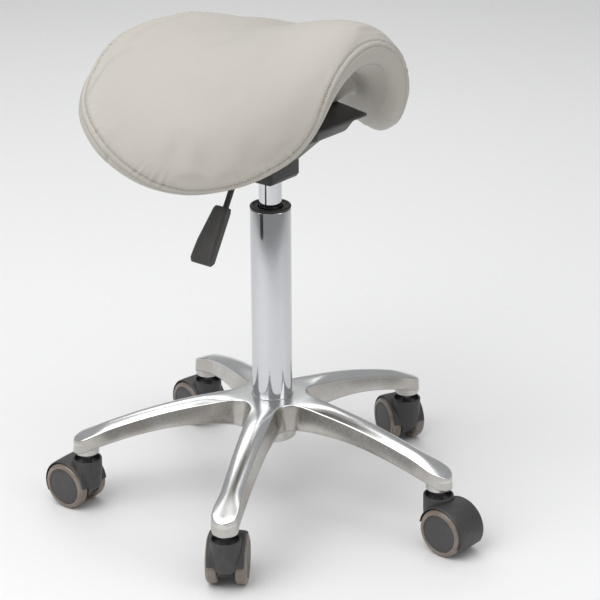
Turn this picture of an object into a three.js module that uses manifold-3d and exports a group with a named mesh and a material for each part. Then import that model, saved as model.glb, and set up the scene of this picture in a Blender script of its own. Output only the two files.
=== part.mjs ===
// Height-adjustable saddle stool on a five-arm castor base.
// Millimetres, +Z up, floor at z = 0. The sitter faces -Y, so +X is the sitter's left.
// The part's origin is on the floor, under the middle of the whole stool's bounding box.
import * as THREE from 'three';
import { mergeVertices } from 'three/addons/utils/BufferGeometryUtils.js';
import Module from 'manifold-3d';

const wasm = await Module();
wasm.setup();

// ---------------------------------------------------------------- driving dimensions
const DEG = Math.PI / 180;
const GAP = 0.3; // air left between neighbouring solids

// five-arm base
const ARM_COUNT = 5;
const BASE_TURN = -10.5 * DEG; // direction of the first arm
const STEM_CIRCLE = 235; // radius of the castor stems' circle
const TIP_RADIUS = 16.7; // round end of an arm and its boss
const ROOT_HALF_WIDTH = 20.5; // half width of an arm where it leaves the hub
const BAY_FILLET = 18; // round corner between two arms
const SOCKET_BOTTOM = 76; // underside of the bosses that hold the stems
const SOCKET_DEPTH = 22;
const HUB_TOP = 148;
const HUB_BOTTOM = 92;
const HUB_RADIUS = 29.5;
const ARM_DROP = 45; // fall of an arm's top from hub to stem
const ARM_DEPTH = 20; // depth of an arm's side near the tip
const ROOT_EXTRA_DEPTH = 16; // how much deeper the side is at the hub
const ARM_WALL = 4.5; // thickness of the casting round its hollow underside

// column and gas lift
const COLUMN_RADIUS = 25;
const COLUMN_TOP = 394;
const COLUMN_BOTTOM = 95;
const COLUMN_WALL = 2;
const TAPER_END_RADIUS = 23.6; // column's lower end, wedged in the hub
const COLLAR_HEIGHT = 3.6;
const CYLINDER_RADIUS = 14;
const CYLINDER_BOTTOM = 123;
const CYLINDER_TOP = 468;
const CYLINDER_BORE = 11.2;
const TAPER_START = 433; // where the cylinder narrows into the seat mechanism
const CYLINDER_TAPER_RADIUS = 13; // radius at the very top of that taper
const ROD_RADIUS = 5;
const VALVE_RADIUS = 3.2;

// castors
const WHEEL_RADIUS = 30;
const DISC_RADIUS = 23.4; // hub disc inside the tread
const CASTOR_TRAIL = 21; // stem axis to axle
const WHEEL_INNER = 10.2; // nearest and farthest face of a wheel from the castor's middle
const WHEEL_OUTER = 24.4;
const HOOD_RADIUS = 33.6;
const HOOD_HALF_WIDTH = 22.8;
const BARREL_RADIUS = 18.5;
const CUP_RIM = 68; // top of the hood's open cup
const STEM_RADIUS = 5.5;
const AXLE_RADIUS = 3;
const TRAIL_DIRECTIONS = [62, 78, 92, 34, -95]; // which way each castor trails, degrees

// seat mechanism
const HOUSING_HALF_WIDTH = 25;
const HOUSING_BOTTOM = 431;
const HOUSING_TOP = 506;
const HOUSING_FRONT = 24.5;
const HOUSING_BACK = -36;
const NOSE_HALF_WIDTH = 19.5;
const PIVOT_FORWARD = 66; // tilt pivot
const PIVOT_HEIGHT = 503;
const PIVOT_RADIUS = 5;
const SHEET = 3; // sheet-steel thickness
const PLATE_FRONT = 101; // steel plate under the seat
const PLATE_BACK = -60;
const PLATE_HALF_WIDTH = 57;
const PLATE_FRONT_HEIGHT = 516.5; // top face of the plate at its front edge
const PLATE_SLOPE = Math.tan(9 * DEG); // the plate is nose-down
const BRACKET_FRONT = 97;
const BRACKET_BACK = -52;
const BRACKET_BOTTOM = 499;
const BOLT_FORWARD = [40, -44];
const BOLT_SIDE = 45;
const BOLT_RADIUS = 4;
const BOLT_REACH = 11; // bolt head to the end of its shank

// release lever
const LEVER_HEIGHT = 478;
const LEVER_RADIUS = 3.6;
const LEVER_ELBOW = 47; // distance out to the downward bend
const LEVER_FALL = 60 * DEG; // below horizontal
const LEVER_SLOPED_LENGTH = 122;
const HANDLE_LENGTH = 72;

// saddle seat, measured on its middle surface
const SEAT_HEIGHT = 568;
const SEAT_SHIFT = -16; // seat centre, forward of the column
const SEAT_HALF_LENGTH = 165;
const SEAT_HALF_WIDTH = 239; // along the curved surface
const CROWN = 37; // padding above the middle surface
const BORDER_DEPTH = 24; // upright border below it at the rim
const UNDER_BULGE = 6; // extra depth at the centre of the underside
const SHELL_REACH = 0.8; // size of the seat shell, as a share of the outline
const SHELL_UPPER = -8;
const SHELL_LOWER = -18;
const COVER_LOWER = -20.5;

// ---------------------------------------------------------------- solids toolbox
const Y_TO_Z = new THREE.Matrix4().makeRotationX(Math.PI / 2);
// sketch plane forward/up, thickness across the seat
const SIDE_VIEW = new THREE.Matrix4().makeBasis(
  new THREE.Vector3(0, -1, 0), new THREE.Vector3(0, 0, 1), new THREE.Vector3(-1, 0, 0));
// sketch plane across/up, thickness forwards
const FRONT_VIEW = new THREE.Matrix4().makeBasis(
  new THREE.Vector3(1, 0, 0), new THREE.Vector3(0, 0, 1), new THREE.Vector3(0, -1, 0));

function weld(geometry) {
  geometry.deleteAttribute('normal');
  geometry.deleteAttribute('uv');
  const welded = mergeVertices(geometry, 1e-3);
  const index = welded.getIndex().array;
  const kept = [];
  for (let i = 0; i < index.length; i += 3) {
    const [a, b, c] = [index[i], index[i + 1], index[i + 2]];
    if (a !== b && b !== c && c !== a) kept.push(a, b, c);
  }
  welded.setIndex(kept);
  return welded;
}

function signedVolume(geometry) {
  const position = geometry.getAttribute('position');
  const index = geometry.getIndex().array;
  const [a, b, c] = [new THREE.Vector3(), new THREE.Vector3(), new THREE.Vector3()];
  let volume = 0;
  for (let i = 0; i < index.length; i += 3) {
    a.fromBufferAttribute(position, index[i]);
    b.fromBufferAttribute(position, index[i + 1]);
    c.fromBufferAttribute(position, index[i + 2]);
    volume += a.dot(b.cross(c)) / 6;
  }
  return volume;
}

function solid(geometry, placement) {
  const welded = weld(geometry.index ? geometry : mergeVertices(geometry));
  if (placement) welded.applyMatrix4(placement);
  const triangles = Uint32Array.from(welded.getIndex().array);
  if (signedVolume(welded) < 0) triangles.reverse();
  const vertices = Float32Array.from(welded.getAttribute('position').array);
  return new wasm.Manifold(new wasm.Mesh({ numProp: 3, vertProperties: vertices, triVerts: triangles }));
}

function surface(body) {
  const mesh = body.getMesh();
  const geometry = new THREE.BufferGeometry();
  geometry.setAttribute('position', new THREE.BufferAttribute(mesh.vertProperties, 3));
  geometry.setIndex(new THREE.BufferAttribute(mesh.triVerts, 1));
  geometry.computeVertexNormals();
  return geometry;
}

// a solid of revolution about Z; the profile lists [radius, height] pairs
function turned(profile, segments = 32) {
  const points = profile.map(([radius, height]) => new THREE.Vector2(radius, height));
  if (profile[0][0] > 0) points.push(points[0].clone());
  return solid(new THREE.LatheGeometry(points, segments), Y_TO_Z);
}

function rod(radius, low, high, segments = 24) {
  return turned([[0, low], [radius, low], [radius, high], [0, high]], segments);
}

function ring(inner, outer, low, high, segments = 32) {
  return turned([[inner, low], [outer, low], [outer, high], [inner, high]], segments);
}

function box(width, depth, height, x, y, z) {
  const placement = new THREE.Matrix4().makeTranslation(x, y, z);
  return solid(new THREE.BoxGeometry(width, depth, height), placement);
}

// a flat outline given thickness, centred on its sketch plane and then placed by a view
function slab(shape, thickness, view, curveSegments = 10) {
  const geometry = new THREE.ExtrudeGeometry(shape, { depth: thickness, bevelEnabled: false, curveSegments });
  geometry.translate(0, 0, -thickness / 2);
  return solid(geometry, view);
}

function outline(points) {
  return new THREE.Shape(points.map(([x, y]) => new THREE.Vector2(x, y)));
}

// a rod lying along +X of its own frame, from the origin
function sideRod(radius, length, placement, segments = 20) {
  const geometry = new THREE.CylinderGeometry(radius, radius, length, segments);
  geometry.rotateZ(Math.PI / 2);
  geometry.translate(length / 2, 0, 0);
  return solid(geometry, placement);
}

// ---------------------------------------------------------------- five-arm base
const STEP_ANGLE = (2 * Math.PI) / ARM_COUNT;

function armTop(radius) {
  const along = Math.max(0, (radius - 33) / (STEM_CIRCLE - 33));
  return HUB_TOP - ARM_DROP * along ** 1.75;
}

function armBottom(radius) {
  const inward = THREE.MathUtils.clamp(1 - (radius - 40) / (STEM_CIRCLE - 40), 0, 1);
  return armTop(radius) - ARM_DEPTH - ROOT_EXTRA_DEPTH * inward ** 3;
}

// the space between an upper and a lower arched skin, all the way round
function arch(inner, outer, raise, lower) {
  const steps = 8;
  const radii = Array.from({ length: steps + 1 }, (_, i) => inner + ((outer - inner) * i) / steps);
  const under = radii.map((radius) => [radius, armBottom(radius) + lower]);
  const over = radii.map((radius) => [radius, armTop(radius) + raise]).reverse();
  return turned([...under, ...over], 30);
}

// plan outline of the star: tapered arms, round tips and a fillet in each bay
function starShape(inset) {
  const shape = new THREE.Shape();
  const tip = TIP_RADIUS - inset;
  const root = ROOT_HALF_WIDTH - inset;
  const fillet = BAY_FILLET + inset;
  const half = STEP_ANGLE / 2;
  const bayCentre = (root + fillet) / Math.sin(half);
  for (let arm = 0; arm < ARM_COUNT; arm += 1) {
    const turn = BASE_TURN + arm * STEP_ANGLE;
    const place = (along, across) => [
      along * Math.cos(turn) - across * Math.sin(turn), along * Math.sin(turn) + across * Math.cos(turn)];
    const rootAlong = bayCentre * Math.cos(half);
    if (arm === 0) shape.moveTo(...place(rootAlong, -root));
    else shape.lineTo(...place(rootAlong, -root));
    shape.lineTo(...place(STEM_CIRCLE, -tip));
    const [tipX, tipY] = place(STEM_CIRCLE, 0);
    shape.absarc(tipX, tipY, tip, turn - Math.PI / 2, turn + Math.PI / 2, false);
    shape.lineTo(...place(rootAlong, root));
    const bay = turn + half;
    shape.absarc(bayCentre * Math.cos(bay), bayCentre * Math.sin(bay), fillet,
      turn - Math.PI / 2, turn + STEP_ANGLE - 1.5 * Math.PI, true);
  }
  return shape;
}

function stemPlace(arm) {
  const turn = BASE_TURN + arm * STEP_ANGLE;
  return new THREE.Vector3(STEM_CIRCLE * Math.cos(turn), STEM_CIRCLE * Math.sin(turn), 0);
}

function starBase() {
  const reach = STEM_CIRCLE + TIP_RADIUS + 2;
  const plan = (inset) => slab(starShape(inset), 120, new THREE.Matrix4().makeTranslation(0, 0, 120), 5);
  let body = plan(0).intersect(arch(10, reach, 0, 0));
  const hollow = plan(ARM_WALL).intersect(arch(HUB_RADIUS + 8, STEM_CIRCLE - 26, -ARM_WALL - 1, -4));
  body = body.subtract(hollow);
  body = body.add(rod(HUB_RADIUS, HUB_BOTTOM, HUB_TOP - 3, 32));
  for (let arm = 0; arm < ARM_COUNT; arm += 1) {
    const { x, y } = stemPlace(arm);
    body = body.add(rod(TIP_RADIUS, SOCKET_BOTTOM, 92, 20).translate([x, y, 0]));
    const bore = rod(STEM_RADIUS + GAP, SOCKET_BOTTOM - 5, SOCKET_BOTTOM + SOCKET_DEPTH, 12);
    body = body.subtract(bore.translate([x, y, 0]));
  }
  const bore = turned([[0, HUB_BOTTOM - 1], [columnRadius(HUB_BOTTOM) + GAP, HUB_BOTTOM - 1],
    [COLUMN_RADIUS + GAP, HUB_TOP], [COLUMN_RADIUS + GAP, HUB_TOP + 5], [0, HUB_TOP + 5]], 32);
  return body.subtract(bore);
}

// ---------------------------------------------------------------- column and gas lift
function columnRadius(height) {
  const down = THREE.MathUtils.clamp((HUB_TOP - height) / (HUB_TOP - COLUMN_BOTTOM), 0, 1);
  return COLUMN_RADIUS - (COLUMN_RADIUS - TAPER_END_RADIUS) * down;
}

function columnTube() {
  const inside = TAPER_END_RADIUS - COLUMN_WALL;
  return turned([
    [ROD_RADIUS + GAP, COLUMN_BOTTOM], [TAPER_END_RADIUS, COLUMN_BOTTOM], [COLUMN_RADIUS, HUB_TOP],
    [COLUMN_RADIUS, COLUMN_TOP], [COLUMN_RADIUS - COLUMN_WALL, COLUMN_TOP],
    [COLUMN_RADIUS - COLUMN_WALL, HUB_TOP + 2], [inside, HUB_TOP - 4], [inside, COLUMN_BOTTOM + 3],
    [ROD_RADIUS + GAP, COLUMN_BOTTOM + 3]], 32);
}

function columnCollar() {
  const base = COLUMN_TOP + GAP;
  const top = base + COLLAR_HEIGHT;
  return turned([
    [CYLINDER_RADIUS + 2, base], [COLUMN_RADIUS, base], [COLUMN_RADIUS + 0.2, base + 1.6],
    [COLUMN_RADIUS - 1.2, top], [COLUMN_RADIUS - 3.4, top], [COLUMN_RADIUS - 5, top - 1.6],
    [CYLINDER_RADIUS + 2, top - 2.2]], 32);
}

const SLEEVE_BOTTOM = 255;

function guideSleeve() {
  return ring(CYLINDER_RADIUS + 0.4, COLUMN_RADIUS - COLUMN_WALL - GAP, SLEEVE_BOTTOM, COLUMN_TOP - 1, 32);
}

const RACE_HEIGHT = 2.4;
const BALL_RADIUS = 1.9;
const FIRST_RACE = COLUMN_BOTTOM + 3 + GAP;
const CAGE_MIDDLE = FIRST_RACE + RACE_HEIGHT + GAP + BALL_RADIUS;
const SECOND_RACE = CAGE_MIDDLE + BALL_RADIUS + GAP;
const BUFFER_BOTTOM = SECOND_RACE + RACE_HEIGHT + GAP;

function bearingRace(base) {
  return ring(ROD_RADIUS + GAP, 14, base, base + RACE_HEIGHT, 24);
}

function ballCage() {
  const balls = 6;
  const pitchRadius = 10;
  let body = ring(pitchRadius - 2.6, pitchRadius + 2.6, CAGE_MIDDLE - 0.6, CAGE_MIDDLE + 0.6, 24);
  for (let i = 0; i < balls; i += 1) {
    const angle = (i / balls) * 2 * Math.PI;
    const place = new THREE.Matrix4().makeTranslation(
      pitchRadius * Math.cos(angle), pitchRadius * Math.sin(angle), CAGE_MIDDLE);
    body = body.add(solid(new THREE.SphereGeometry(BALL_RADIUS, 6, 4), place));
  }
  return body;
}

function rubberBuffer() {
  return ring(ROD_RADIUS + GAP, 12, BUFFER_BOTTOM, CYLINDER_BOTTOM - GAP, 24);
}

const PISTON_BOTTOM = 404;
const PISTON_HEIGHT = 14;
const ROD_PROTRUSION = 5;
const CLIP_DEPTH = 1.2;
const CLIP_WIDTH = 2.4;

function pistonRod() {
  const groove = COLUMN_BOTTOM - 4;
  return turned([
    [0, groove - ROD_PROTRUSION], [ROD_RADIUS, groove - ROD_PROTRUSION], [ROD_RADIUS, groove],
    [ROD_RADIUS - CLIP_DEPTH, groove], [ROD_RADIUS - CLIP_DEPTH, groove + CLIP_WIDTH],
    [ROD_RADIUS, groove + CLIP_WIDTH], [ROD_RADIUS, PISTON_BOTTOM], [CYLINDER_BORE - GAP, PISTON_BOTTOM],
    [CYLINDER_BORE - GAP, PISTON_BOTTOM + PISTON_HEIGHT], [0, PISTON_BOTTOM + PISTON_HEIGHT]], 24);
}

const CLIP_RADIUS = 11;
const CLIP_THICKNESS = 1.8;

function retainingClip() {
  const low = COLUMN_BOTTOM - 4 + GAP;
  const inside = ROD_RADIUS - CLIP_DEPTH + GAP;
  const washer = ring(inside, CLIP_RADIUS, low, low + CLIP_THICKNESS, 24);
  return washer.subtract(box(2 * inside, 14, 6, 0, -7, low));
}

function gasCylinder() {
  const valveSeat = CYLINDER_TOP - 14;
  return turned([
    [ROD_RADIUS + GAP, CYLINDER_BOTTOM], [CYLINDER_RADIUS - 1, CYLINDER_BOTTOM],
    [CYLINDER_RADIUS, CYLINDER_BOTTOM + 1], [CYLINDER_RADIUS, TAPER_START],
    [CYLINDER_TAPER_RADIUS, CYLINDER_TOP], [VALVE_RADIUS + GAP, CYLINDER_TOP],
    [VALVE_RADIUS + GAP, valveSeat],
    [1, valveSeat], [1, valveSeat - 26], [CYLINDER_BORE, valveSeat - 26],
    [CYLINDER_BORE, CYLINDER_BOTTOM + 4], [ROD_RADIUS + GAP, CYLINDER_BOTTOM + 4]], 28);
}

function valvePin() {
  const top = LEVER_HEIGHT - LEVER_RADIUS - GAP;
  return rod(VALVE_RADIUS, CYLINDER_TOP - 9, top, 16);
}

// ---------------------------------------------------------------- seat mechanism
function pivotPlace() {
  return new THREE.Matrix4().makeTranslation(0, -PIVOT_FORWARD, PIVOT_HEIGHT);
}

function crossRod(radius, halfLength, segments = 20) {
  const placement = pivotPlace().multiply(new THREE.Matrix4().makeTranslation(-halfLength, 0, 0));
  return sideRod(radius, 2 * halfLength, placement, segments);
}

function mechanismHousing() {
  const boxWall = 2.5;
  const body = outline([
    [HOUSING_BACK, HOUSING_BOTTOM], [HOUSING_FRONT - 4, HOUSING_BOTTOM], [HOUSING_FRONT, HOUSING_BOTTOM + 5],
    [HOUSING_FRONT, HOUSING_TOP], [HOUSING_BACK, HOUSING_TOP]]);
  const inside = outline([
    [HOUSING_BACK + boxWall, HOUSING_TOP - 34], [HOUSING_FRONT - boxWall, HOUSING_TOP - 34],
    [HOUSING_FRONT - boxWall, HOUSING_TOP + 5], [HOUSING_BACK + boxWall, HOUSING_TOP + 5]]);
  const arm = new THREE.Shape();
  arm.moveTo(HOUSING_FRONT - 4, HOUSING_BOTTOM + 18);
  arm.lineTo(PIVOT_FORWARD, PIVOT_HEIGHT - 14);
  arm.absarc(PIVOT_FORWARD, PIVOT_HEIGHT, 14, -Math.PI / 2, Math.PI / 2 - 0.9, false);
  arm.lineTo(PIVOT_FORWARD, HOUSING_TOP + 4);
  arm.lineTo(HOUSING_FRONT - 4, HOUSING_TOP);
  let housing = slab(body, 2 * HOUSING_HALF_WIDTH, SIDE_VIEW);
  housing = housing.subtract(slab(inside, 2 * (HOUSING_HALF_WIDTH - boxWall), SIDE_VIEW));
  housing = housing.add(slab(arm, 2 * NOSE_HALF_WIDTH, SIDE_VIEW, 6));
  const hollowArm = outline([
    [HOUSING_FRONT - 1, HOUSING_BOTTOM + 46], [PIVOT_FORWARD - 12, PIVOT_HEIGHT - 4],
    [PIVOT_FORWARD - 12, HOUSING_TOP + 9], [HOUSING_FRONT - 1, HOUSING_TOP + 9]]);
  housing = housing.subtract(slab(hollowArm, 2 * (NOSE_HALF_WIDTH - boxWall), SIDE_VIEW));
  const socket = turned([
    [0, HOUSING_BOTTOM - 1], [CYLINDER_RADIUS + GAP, HOUSING_BOTTOM - 1],
    [CYLINDER_RADIUS + GAP, TAPER_START],
    [CYLINDER_TAPER_RADIUS + GAP, CYLINDER_TOP], [CYLINDER_TAPER_RADIUS + GAP, HOUSING_TOP - 33],
    [0, HOUSING_TOP - 33]], 28);
  housing = housing.subtract(socket);
  const leverHole = new THREE.Matrix4().makeTranslation(-HOUSING_HALF_WIDTH - 5, 0, LEVER_HEIGHT);
  housing = housing.subtract(sideRod(LEVER_RADIUS + 1.6, 20, leverHole));
  return housing.subtract(crossRod(PIVOT_RADIUS + GAP, NOSE_HALF_WIDTH + 5));
}

function plateHeight(forward) {
  return PLATE_FRONT_HEIGHT + PLATE_SLOPE * (PLATE_FRONT - forward);
}

// pressed-steel channel: slanted cheeks and a closed front, open towards the housing
function upperBracket() {
  const under = SHEET + GAP;
  const roof = (forward, drop) => [forward, plateHeight(forward) - under - drop];
  const outer = outline([
    roof(BRACKET_BACK, 0), [BRACKET_BACK, plateHeight(BRACKET_BACK) - 16], [-20, BRACKET_BOTTOM + 16],
    [40, BRACKET_BOTTOM], [BRACKET_FRONT - 8, BRACKET_BOTTOM], [BRACKET_FRONT - 4, BRACKET_BOTTOM + 3],
    roof(BRACKET_FRONT + 3, 0)]);
  const inner = outline([
    roof(BRACKET_BACK - 5, SHEET), [BRACKET_BACK - 5, BRACKET_BOTTOM - 20], [84, BRACKET_BOTTOM - 20],
    [84, BRACKET_BOTTOM + SHEET], [BRACKET_FRONT - 8, BRACKET_BOTTOM + SHEET],
    roof(BRACKET_FRONT - 1, SHEET)]);
  const section = (inset) => outline([
    [-27 + inset, BRACKET_BOTTOM - 40], [-27 + inset, BRACKET_BOTTOM], [-38 + inset, BRACKET_BOTTOM + 26],
    [-38 + inset, BRACKET_BOTTOM + 80], [38 - inset, BRACKET_BOTTOM + 80], [38 - inset, BRACKET_BOTTOM + 26],
    [27 - inset, BRACKET_BOTTOM], [27 - inset, BRACKET_BOTTOM - 40]]);
  const tunnel = (inset) => slab(section(inset), 400, FRONT_VIEW);
  const shellBody = slab(outer, 90, SIDE_VIEW).intersect(tunnel(0));
  const hollow = slab(inner, 90, SIDE_VIEW).intersect(tunnel(SHEET));
  return shellBody.subtract(hollow).subtract(crossRod(PIVOT_RADIUS + GAP, 45));
}

function seatPlate() {
  const side = outline([
    [PLATE_BACK, plateHeight(PLATE_BACK) - SHEET], [PLATE_FRONT, plateHeight(PLATE_FRONT) - SHEET],
    [PLATE_FRONT, plateHeight(PLATE_FRONT)], [PLATE_BACK, plateHeight(PLATE_BACK)]]);
  let plate = slab(side, 2 * PLATE_HALF_WIDTH, SIDE_VIEW);
  for (const forward of BOLT_FORWARD) {
    for (const across of [-BOLT_SIDE, BOLT_SIDE]) {
      const hole = rod(BOLT_RADIUS + GAP, -10, 10, 12).translate([across, -forward, plateHeight(forward)]);
      plate = plate.subtract(hole);
    }
  }
  return plate;
}

// an M8 bolt: head under the plate, shank up into the shell's mounting block
function seatBolt(forward, across) {
  const face = plateHeight(forward) - SHEET - 1.6;
  const shank = rod(BOLT_RADIUS, -1, BOLT_REACH, 12);
  const head = rod(6.5, -5.5, 0, 6);
  return shank.add(head).translate([across, -forward, face]);
}

function boltHoles() {
  let holes = null;
  for (const forward of BOLT_FORWARD) {
    for (const across of [-BOLT_SIDE, BOLT_SIDE]) {
      const hole = rod(BOLT_RADIUS + GAP, -10, BOLT_REACH - 3, 12);
      const placed = hole.translate([across, -forward, plateHeight(forward)]);
      holes = holes ? holes.add(placed) : placed;
    }
  }
  return holes;
}

// ---------------------------------------------------------------- release lever
function leverAlong(distance) {
  return new THREE.Vector3(
    -LEVER_ELBOW - distance * Math.cos(LEVER_FALL), 0, LEVER_HEIGHT - distance * Math.sin(LEVER_FALL));
}

// sloping part of the lever as a frame: X runs down the lever, Y across it, Z out of its upper face
function leverFrame(distance) {
  const down = leverAlong(1).sub(leverAlong(0));
  const across = new THREE.Vector3(0, -1, 0);
  const out = new THREE.Vector3().crossVectors(down, across);
  return new THREE.Matrix4().makeBasis(down, across, out).setPosition(leverAlong(distance));
}

const BEND_REACH = 12;
const ROD_INNER_END = 6;

function leverRod() {
  const path = new THREE.CurvePath();
  const start = new THREE.Vector3(ROD_INNER_END, 0, LEVER_HEIGHT);
  const beforeBend = new THREE.Vector3(-LEVER_ELBOW + BEND_REACH, 0, LEVER_HEIGHT);
  path.add(new THREE.LineCurve3(start, beforeBend));
  path.add(new THREE.QuadraticBezierCurve3(beforeBend, leverAlong(0), leverAlong(BEND_REACH)));
  path.add(new THREE.LineCurve3(leverAlong(BEND_REACH), leverAlong(LEVER_SLOPED_LENGTH)));
  const circle = new THREE.Shape();
  circle.absarc(0, 0, LEVER_RADIUS, 0, 2 * Math.PI, false);
  return solid(new THREE.ExtrudeGeometry(circle, { steps: 16, extrudePath: path, curveSegments: 5 }));
}

const HANDLE_THICKNESS = 13;
const HANDLE_OVERLAP = 51;
const SOCKET_OVERRUN = 38.4;

function leverHandle() {
  const top = LEVER_SLOPED_LENGTH - HANDLE_OVERLAP;
  const blade = outline([
    [0, -5.5], [6, -6.5], [HANDLE_LENGTH - 5, -7], [HANDLE_LENGTH, -3], [HANDLE_LENGTH, 24],
    [HANDLE_LENGTH - 5, 27], [48, 25], [2, 15], [0, 13]]);
  const body = slab(blade, HANDLE_THICKNESS, leverFrame(top).scale(new THREE.Vector3(1, -1, 1)));
  return body.subtract(sideRod(LEVER_RADIUS + GAP, 90, leverFrame(top - SOCKET_OVERRUN)));
}

// ---------------------------------------------------------------- saddle seat
// height and forward place along the seat's spine, then a curve that falls away on each side
function saddleMiddle(along, across) {
  const a = along / 100;
  const bend = (5.07 + 3.8 * a + 0.7 * a * a) * 1e-3;
  const flare = -8e-8;
  const steps = 6;
  let side = 0;
  let fall = 0;
  for (let i = 0; i <= steps; i += 1) {
    const t = (across * i) / steps;
    const weight = (i === 0 || i === steps ? 1 : i % 2 ? 4 : 2) * (across / steps / 3);
    const slope = bend * t + flare * t ** 3;
    side += weight * Math.cos(slope);
    fall += weight * Math.sin(slope);
  }
  const spine = SEAT_HEIGHT + 23 * a + 13.8 * a * a - 6.5 * a ** 3;
  return new THREE.Vector3(side, -(along + SEAT_SHIFT), spine - fall);
}

function signedPower(value, power) {
  return Math.sign(value) * Math.abs(value) ** power;
}

// a point at share `reach` of the outline in direction `turn`, `height` off the middle surface
function saddlePoint(reach, turn, height) {
  const c = signedPower(Math.cos(turn), 0.95);
  const s = signedPower(Math.sin(turn), 0.56);
  const waist = 1 - 0.1435 * c - 0.25 * c * c + 0.29 * c ** 3;
  const along = reach * SEAT_HALF_LENGTH * c;
  const across = reach * SEAT_HALF_WIDTH * waist * s;
  const step = 0.5;
  const lengthwise = saddleMiddle(along + step, across).sub(saddleMiddle(along - step, across));
  const sideways = saddleMiddle(along, across + step).sub(saddleMiddle(along, across - step));
  const normal = new THREE.Vector3().crossVectors(sideways, lengthwise).normalize();
  if (normal.z < 0) normal.negate();
  return saddleMiddle(along, across).addScaledVector(normal, height);
}

// Closes a stack of [reach, height] rows, from the middle of the top to the middle of the
// underside. Each four-sided patch is split along the same diagonal on both faces, so that one
// solid's underside lies parallel to the next one's top.
function saddleSolid(rows, around = 44) {
  const positions = [];
  const index = [];
  const push = (point) => positions.push(point.x, point.y, point.z);
  push(saddlePoint(0, 0, rows[0][1]));
  const rings = rows.slice(1, -1);
  for (const [reach, height] of rings) {
    for (let i = 0; i < around; i += 1) push(saddlePoint(reach, (i / around) * 2 * Math.PI, height));
  }
  push(saddlePoint(0, 0, rows[rows.length - 1][1]));
  const last = positions.length / 3 - 1;
  for (let i = 0; i < around; i += 1) {
    const next = (i + 1) % around;
    index.push(0, 1 + i, 1 + next);
    for (let row = 0; row < rings.length - 1; row += 1) {
      const here = 1 + row * around;
      const below = here + around;
      if (rings[row + 1][0] >= rings[row][0]) {
        index.push(here + i, below + i, below + next, here + i, below + next, here + next);
      } else {
        index.push(here + i, below + i, here + next, here + next, below + i, below + next);
      }
    }
    const bottom = 1 + (rings.length - 1) * around;
    index.push(bottom + i, last, bottom + next);
  }
  const geometry = new THREE.BufferGeometry();
  geometry.setAttribute('position', new THREE.Float32BufferAttribute(positions, 3));
  geometry.setIndex(index);
  return solid(geometry);
}

function crownHeight(reach) {
  return CROWN * (1 - reach ** 2.8) ** 0.48;
}

function underHeight(reach) {
  return -BORDER_DEPTH * (1 - reach ** 9) ** 0.42 - UNDER_BULGE * (1 - reach ** 2);
}

function shellRows(reach, height) {
  return [0, 0.3, 0.55, 0.8, 1].map((share) => [share * reach, height]);
}

function shellSlab(reach, upper, lower) {
  return saddleSolid([...shellRows(reach, upper), ...shellRows(reach, lower).reverse()]);
}

// foam and its cover as one soft solid, with a recess below for the shell
function seatCushion() {
  const top = [0, 0.25, 0.45, 0.62, 0.76, 0.87, 0.94, 0.98].map((reach) => [reach, crownHeight(reach)]);
  const pocket = SHELL_REACH + 0.015;
  const under = [0.985, 0.95, 0.88, pocket].map((reach) => [reach, underHeight(reach)]);
  const recess = [[pocket, SHELL_UPPER + GAP], ...shellRows(SHELL_REACH, SHELL_UPPER + GAP).reverse()];
  return saddleSolid([...top, [1, 0], ...under, ...recess]);
}

// moulded shell with a wedge-shaped block that gives the steel plate a flat seat
const BLOCK_HEIGHT = 95;
const BLOCK_FRONT = 56;
const RECESS_DEPTH = 60;

function mountingBlock(margin) {
  const [front, back] = [BLOCK_FRONT + margin, PLATE_BACK - 2 - margin];
  const side = outline([
    [back, plateHeight(back) + GAP - margin], [front, plateHeight(front) + GAP - margin],
    [front, plateHeight(front) + BLOCK_HEIGHT], [back, plateHeight(back) + BLOCK_HEIGHT]]);
  const above = shellSlab(0.95, (SHELL_UPPER + SHELL_LOWER) / 2, 90);
  return slab(side, 2 * (PLATE_HALF_WIDTH + 3 + margin), SIDE_VIEW).subtract(above);
}

// room for the plate and the bracket below it
function plateRecess(margin) {
  const [front, back] = [PLATE_FRONT + margin, PLATE_BACK - margin];
  const side = outline([
    [back, plateHeight(back) - RECESS_DEPTH], [front, plateHeight(front) - RECESS_DEPTH],
    [front, plateHeight(front) + GAP], [back, plateHeight(back) + GAP]]);
  return slab(side, 2 * (PLATE_HALF_WIDTH + margin), SIDE_VIEW);
}

function seatShell() {
  const shell = shellSlab(SHELL_REACH, SHELL_UPPER, SHELL_LOWER).add(mountingBlock(0));
  return shell.subtract(plateRecess(1)).subtract(boltHoles());
}

function seatUnderCover() {
  const cover = shellSlab(SHELL_REACH, SHELL_LOWER - GAP, COVER_LOWER);
  return cover.subtract(mountingBlock(GAP)).subtract(plateRecess(3));
}

// ---------------------------------------------------------------- castors
// A castor's own frame: stem axis on Z, wheels trailing towards +X, axle along Y.
function wheelSpace(side) {
  const geometry = new THREE.CylinderGeometry(WHEEL_RADIUS + 1.4, WHEEL_RADIUS + 1.4, 30, 24);
  const middle = side * (WHEEL_INNER - 0.7 + 15);
  return solid(geometry, new THREE.Matrix4().makeTranslation(CASTOR_TRAIL, middle, WHEEL_RADIUS));
}

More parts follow.
